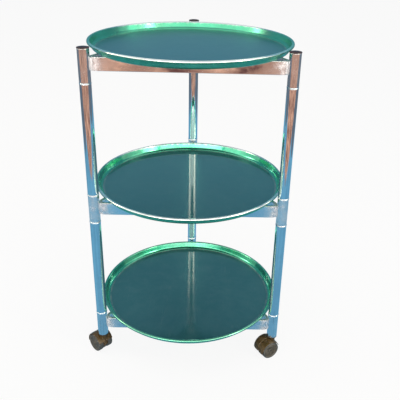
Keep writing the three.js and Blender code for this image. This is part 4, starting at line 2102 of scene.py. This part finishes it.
@dataclass(frozen=True)
class PhotoCamera:
    """Camera at the photograph's viewing angle.

    Args:
        position: place of the lens.
        heading: degrees turned from +Y towards +X.
        tilt: degrees below the horizon.
        roll: degrees that the camera leans to its left.
        focal_pixels: focal length, in pixels of the 400 by 400 image.
        axis_pixel: where the lens axis meets that image.
        image_side: side of the image in pixels.
        sensor: sensor width in millimetres.
        nearest: distance of the nearest thing that it shows.
        farthest: distance of the farthest.
    """

    position: Place = (0.0405, -1.1358, 0.8858)
    heading: float = 0.883
    tilt: float = 25.045
    roll: float = 1.487
    focal_pixels: float = 564.7
    axis_pixel: Point = (211.98, 184.91)
    image_side: float = 400.0
    sensor: float = 36.0
    nearest: float = 0.01
    farthest: float = 60.0

    def build(self) -> Piece:
        """Makes the camera and gives it to the scene.

        Returns:
            The camera object.
        """
        heading, tilt, roll = (math.radians(a) for a in (self.heading, self.tilt, self.roll))
        flat, drop = math.cos(tilt), -math.sin(tilt)
        forward = Vector((math.sin(heading) * flat, math.cos(heading) * flat, drop))
        level = Vector((math.cos(heading), -math.sin(heading), 0))
        upright = level.cross(forward)
        right = level * math.cos(roll) + upright * math.sin(roll)
        up = upright * math.cos(roll) - level * math.sin(roll)
        data = bpy.data.cameras.new("photo camera")
        data.sensor_width = self.sensor
        data.lens = self.focal_pixels / self.image_side * self.sensor
        data.shift_x = (self.image_side / 2 - self.axis_pixel[0]) / self.image_side
        data.shift_y = (self.axis_pixel[1] - self.image_side / 2) / self.image_side
        data.clip_start = self.nearest
        data.clip_end = self.farthest
        camera = bpy.data.objects.new("photo camera", data)
        turn = Matrix((right, up, -forward)).transposed()
        camera.matrix_world = Matrix.Translation(self.position) @ turn.to_4x4()
        bpy.context.scene.collection.objects.link(camera)
        bpy.context.scene.camera = camera
        return camera


@dataclass(frozen=True)
class Card:
    """Coloured card that only reflections show, as a studio puts round bright metal.

    Args:
        name: name of the card.
        colour: colour of the light that it sends back.
        patches: colour of its patches, the same as the first for a plain card.
        corners: its corners, in order.
        patch_scale: patches in a metre.
        patch_detail: octaves of the patches.
    """

    name: str
    colour: Colour
    patches: Colour
    corners: tuple[Place, ...]
    patch_scale: float = 1.6
    patch_detail: float = 3.0

    PATCH_ROUGHNESS = 0.62
    PATCH_CUT = (0.40, 0.60)

    def build(self) -> None:
        """Makes the card as part of the stage."""
        mesh = bpy.data.meshes.new(self.name)
        mesh.from_pydata(self.corners, [], [tuple(range(len(self.corners)))])
        card = bpy.data.objects.new(self.name, mesh)
        bpy.context.scene.collection.objects.link(card)
        material = bpy.data.materials.new(self.name)
        material.use_nodes = True
        shader = ShaderTree(material.node_tree)
        material.node_tree.nodes.clear()
        glow = shader.add("ShaderNodeEmission", None, {"Strength": 1.0})
        cloud = Cloud(self.PATCH_CUT, self.patch_scale, self.patch_detail, self.PATCH_ROUGHNESS)
        shader.join(shader.mix(shader.cloud(cloud), self.colour, self.patches), glow.inputs["Color"])
        sink = shader.add("ShaderNodeOutputMaterial")
        shader.join(glow.outputs[0], sink.inputs["Surface"])
        mesh.materials.append(material)
        card.visible_camera = card.visible_diffuse = card.visible_shadow = False
        card.visible_transmission = card.visible_volume_scatter = False


@dataclass(frozen=True)
class SoftBox:
    """Soft studio lamp.

    Args:
        name: name of the lamp.
        position: place of its middle.
        target: point that it faces.
        width: first side.
        height: second side.
        power: power in watts.
        colour: colour of its light.
        mirrored: whether bright metal shows the lamp itself.
    """

    name: str
    position: Place
    target: Place
    width: float
    height: float
    power: float
    colour: Colour = (1.0, 1.0, 1.0)
    mirrored: bool = True

    def build(self) -> None:
        """Makes the lamp."""
        data = bpy.data.lights.new(self.name, "AREA")
        data.shape = "RECTANGLE"
        data.size, data.size_y = self.width, self.height
        data.energy = self.power
        data.color = self.colour
        lamp = bpy.data.objects.new(self.name, data)
        way = Vector(self.target) - Vector(self.position)
        turn = way.to_track_quat("-Z", "Y").to_matrix()
        lamp.matrix_world = Matrix.Translation(self.position) @ turn.to_4x4()
        lamp.visible_glossy = self.mirrored
        bpy.context.scene.collection.objects.link(lamp)


@dataclass(frozen=True)
class RoundWall:
    """Upright wall of flat cards round part of the trolley.

    Args:
        radius: distance of its edges from the middle of the floor.
        bottom: height of its lower edge.
        top: height of its upper edge.
        middle: azimuth of its middle, in degrees from +X.
        half_angle: half of the angle that it takes in, in degrees.
        sides: flat cards that it is made of.
    """

    radius: float
    bottom: float
    top: float
    middle: float
    half_angle: float
    sides: int

    def corners(self) -> Iterable[tuple[Place, ...]]:
        """Corners of each card.

        Yields:
            The four corners of the next card.
        """
        start = math.radians(self.middle - self.half_angle)
        step = 2 * math.radians(self.half_angle) / self.sides
        for i in range(self.sides):
            ends = (start + step * i, start + step * (i + 1))
            (x0, y0), (x1, y1) = ((self.radius * math.cos(t), self.radius * math.sin(t)) for t in ends)
            yield (x0, y0, self.bottom), (x1, y1, self.bottom), (x1, y1, self.top), (x0, y0, self.top)


@dataclass(frozen=True)
class Studio:
    """Plain pale floor, white surroundings, soft lamps and reflection cards.

    Args:
        floor_side: side of the floor.
        floor_colour: colour of the floor.
        floor_glow: share of plain white in the floor as the camera sees it.
        world_light: strength of the white surroundings on dull surfaces.
        ground_blue: colours of the blue ground card.
        ground_clay: colours of the clay-coloured ground card in front of it.
        ground_slate: colour of the ground beyond both.
        wall_blue: colours of the dim wall behind the trolley.
        band_white: colours of the bright band round the front.
        low_white: colours of the brighter strip at the foot of that band.
        ceiling_grey: colour of the dim ceiling in front of the trolley.
        ceiling_height: height of that ceiling.
        ceiling_front: its near line.
        ceiling_back: its far line.
        warm: colour of the two side lamps.
        ground_front: line where the blue card ends and the clay-coloured one starts.
        ground_back: far end of the blue card.
        ground_half_width: half width of the blue card.
        clay_end: near end of the clay-coloured card.
        far_side: half side of the slate ground.
        card_lift: height of the lowest ground card, and of each one above the next.
        clay_patches: patches in a metre of the clay-coloured card.
        clay_detail: octaves of those patches.
        wall_patches: patches in a metre of the dim wall.
        band_patches: patches in a metre of the bright band.
    """

    floor_side: float = 40.0
    floor_colour: Colour = (0.90, 0.90, 0.90)
    floor_glow: float = 0.90
    world_light: float = 0.46
    ground_blue: tuple[Colour, Colour] = ((0.165, 0.43, 0.62), (0.135, 0.35, 0.52))
    ground_clay: tuple[Colour, Colour] = ((0.98, 0.53, 0.36), (0.15, 0.060, 0.055))
    ground_slate: Colour = (0.140, 0.175, 0.220)
    wall_blue: tuple[Colour, Colour] = ((0.165, 0.36, 0.50), (0.14, 0.31, 0.44))
    band_white: tuple[Colour, Colour] = ((2.05, 2.15, 1.95), (1.65, 1.70, 1.50))
    low_white: tuple[Colour, Colour] = ((5.8, 5.5, 5.3), (3.8, 3.7, 3.5))
    ceiling_grey: Colour = (0.56, 0.58, 0.64)
    ceiling_height: float = 4.6
    ceiling_front: float = -5.6
    ceiling_back: float = -0.8
    warm: Colour = (1.0, 0.88, 0.60)
    ground_front: float = -1.10
    ground_back: float = 1.5
    ground_half_width: float = 1.4
    clay_end: float = -5.0
    far_side: float = 7.0
    card_lift: float = 0.2 * MM
    clay_patches: float = 4.2
    clay_detail: float = 7.0
    wall_patches: float = 0.35
    band_patches: float = 0.5

    BACK_WALL = RoundWall(radius=7.0, bottom=0.0, top=7.5, middle=90.0, half_angle=78.0, sides=13)
    FRONT_BAND = RoundWall(radius=5.2, bottom=0.95, top=4.3, middle=270.0, half_angle=88.0, sides=15)
    LOW_STRIP = RoundWall(radius=4.9, bottom=0.25, top=1.9, middle=282.0, half_angle=56.0, sides=11)

    def build(self) -> None:
        """Builds the whole studio."""
        self.floor()
        self.world()
        self.cards()
        for lamp in self.lamps():
            lamp.build()
        bpy.context.scene.view_settings.view_transform = "Standard"

    @staticmethod
    def seen(shader: ShaderTree) -> Socket:
        """Mask of the rays that an eye, a mirror or a clear piece sends out.

        Args:
            shader: tree of the floor or of the surroundings.

        Returns:
            The mask's socket.
        """
        path = shader.add("ShaderNodeLightPath")
        mirrored = shader.math("MAXIMUM", path.outputs["Is Camera Ray"], path.outputs["Is Glossy Ray"])
        return shader.math("MAXIMUM", mirrored, path.outputs["Is Transmission Ray"])

    def floor(self) -> None:
        """Pale floor that keeps the trolley's shadow."""
        half = self.floor_side / 2
        mesh = bpy.data.meshes.new("floor")
        corners = [(-half, -half, 0), (half, -half, 0), (half, half, 0), (-half, half, 0)]
        mesh.from_pydata(corners, [], [tuple(range(len(corners)))])
        floor = bpy.data.objects.new("floor", mesh)
        bpy.context.scene.collection.objects.link(floor)
        material = bpy.data.materials.new("pale floor")
        material.use_nodes = True
        shader = ShaderTree(material.node_tree)
        material.node_tree.nodes.clear()
        dull = shader.add("ShaderNodeBsdfDiffuse", None, {"Color": (*self.floor_colour, 1.0)})
        white = shader.add("ShaderNodeEmission", None, {"Strength": 1.0})
        blend = shader.add("ShaderNodeMixShader")
        shader.join(shader.product(self.seen(shader), self.floor_glow), blend.inputs[0])
        shader.join(dull.outputs[0], blend.inputs[1])
        shader.join(white.outputs[0], blend.inputs[2])
        sink = shader.add("ShaderNodeOutputMaterial")
        shader.join(blend.outputs[0], sink.inputs["Surface"])
        mesh.materials.append(material)

    def world(self) -> None:
        """White surroundings, plain where they are seen and softer where they light."""
        world = bpy.data.worlds.new("white surroundings")
        bpy.context.scene.world = world
        world.use_nodes = True
        shader = ShaderTree(world.node_tree)
        world.node_tree.nodes.clear()
        strength = shader.between(self.seen(shader), self.world_light, 1.0)
        glow = shader.add("ShaderNodeBackground", None, {"Color": (1.0, 1.0, 1.0, 1.0)})
        shader.join(strength, glow.inputs["Strength"])
        sink = shader.add("ShaderNodeOutputWorld")
        shader.join(glow.outputs[0], sink.inputs["Surface"])

    def cards(self) -> None:
        """Cards of the ground, the ceiling and the walls, which bright metal mirrors."""
        half, far = self.ground_half_width, self.far_side
        front, back, end = self.ground_front, self.ground_back, self.clay_end
        low, middle, high = (self.card_lift * level for level in (1, 2, 3))

        def flat(x0: float, x1: float, y0: float, y1: float, z: float) -> tuple[Place, ...]:
            """Corners of a level rectangle."""
            return (x0, y0, z), (x1, y0, z), (x1, y1, z), (x0, y1, z)

        slate = flat(-far, far, -far, far, low)
        Card("slate ground card", self.ground_slate, self.ground_slate, slate).build()
        clay = flat(-far / 2, far / 2, end, front, middle)
        Card("clay ground card", *self.ground_clay, clay, self.clay_patches, self.clay_detail).build()
        Card("blue ground card", *self.ground_blue, flat(-half, half, front, back, high)).build()
        ceiling = flat(-far, far, self.ceiling_front, self.ceiling_back, self.ceiling_height)
        Card("grey ceiling card", self.ceiling_grey, self.ceiling_grey, ceiling).build()
        for name, wall, colours, patches in (
                ("blue wall", self.BACK_WALL, self.wall_blue, self.wall_patches),
                ("bright band", self.FRONT_BAND, self.band_white, self.band_patches),
                ("low strip", self.LOW_STRIP, self.low_white, self.band_patches)):
            for i, corners in enumerate(wall.corners()):
                Card(f"{name} card {i}", *colours, corners, patches).build()

    def lamps(self) -> list[SoftBox]:
        """The soft lamps: two broad ones that bright metal doesn't show, and two narrow warm ones.

        Returns:
            The lamps.
        """
        middle = (0.0, 0.0, 0.35)
        return [
            SoftBox("front window", position=(0.0, -3.3, 1.60), target=(0.0, 0.0, 1.0), width=3.2,
                    height=1.5, power=33.0, mirrored=False),
            SoftBox("overhead softbox", position=(0.0, -0.5, 4.8), target=middle, width=3.4, height=3.4,
                    power=44.0, mirrored=False),
            SoftBox("left softbox", position=(-2.6, 0.0, 1.45), target=middle, width=0.5, height=1.2,
                    power=13.0, colour=self.warm),
            SoftBox("right softbox", position=(2.2, -1.4, 1.45), target=middle, width=0.5, height=1.2,
                    power=15.0, colour=self.warm),
        ]


def main() -> None:
    """Builds the camera, the studio and the trolley, piece by piece."""
    logging.basicConfig(level=logging.INFO, format="%(name)s: %(message)s")
    PhotoCamera().build()
    Studio().build()
    for side in Side:
        Leg(side).build()
    for tier in Tier:
        TierFrame(tier).build()
        Tray(tier, TRAY_FINISHES[tier]).build()
    for side in Side:
        Caster(side).build()


if __name__ == "__main__":
    main()
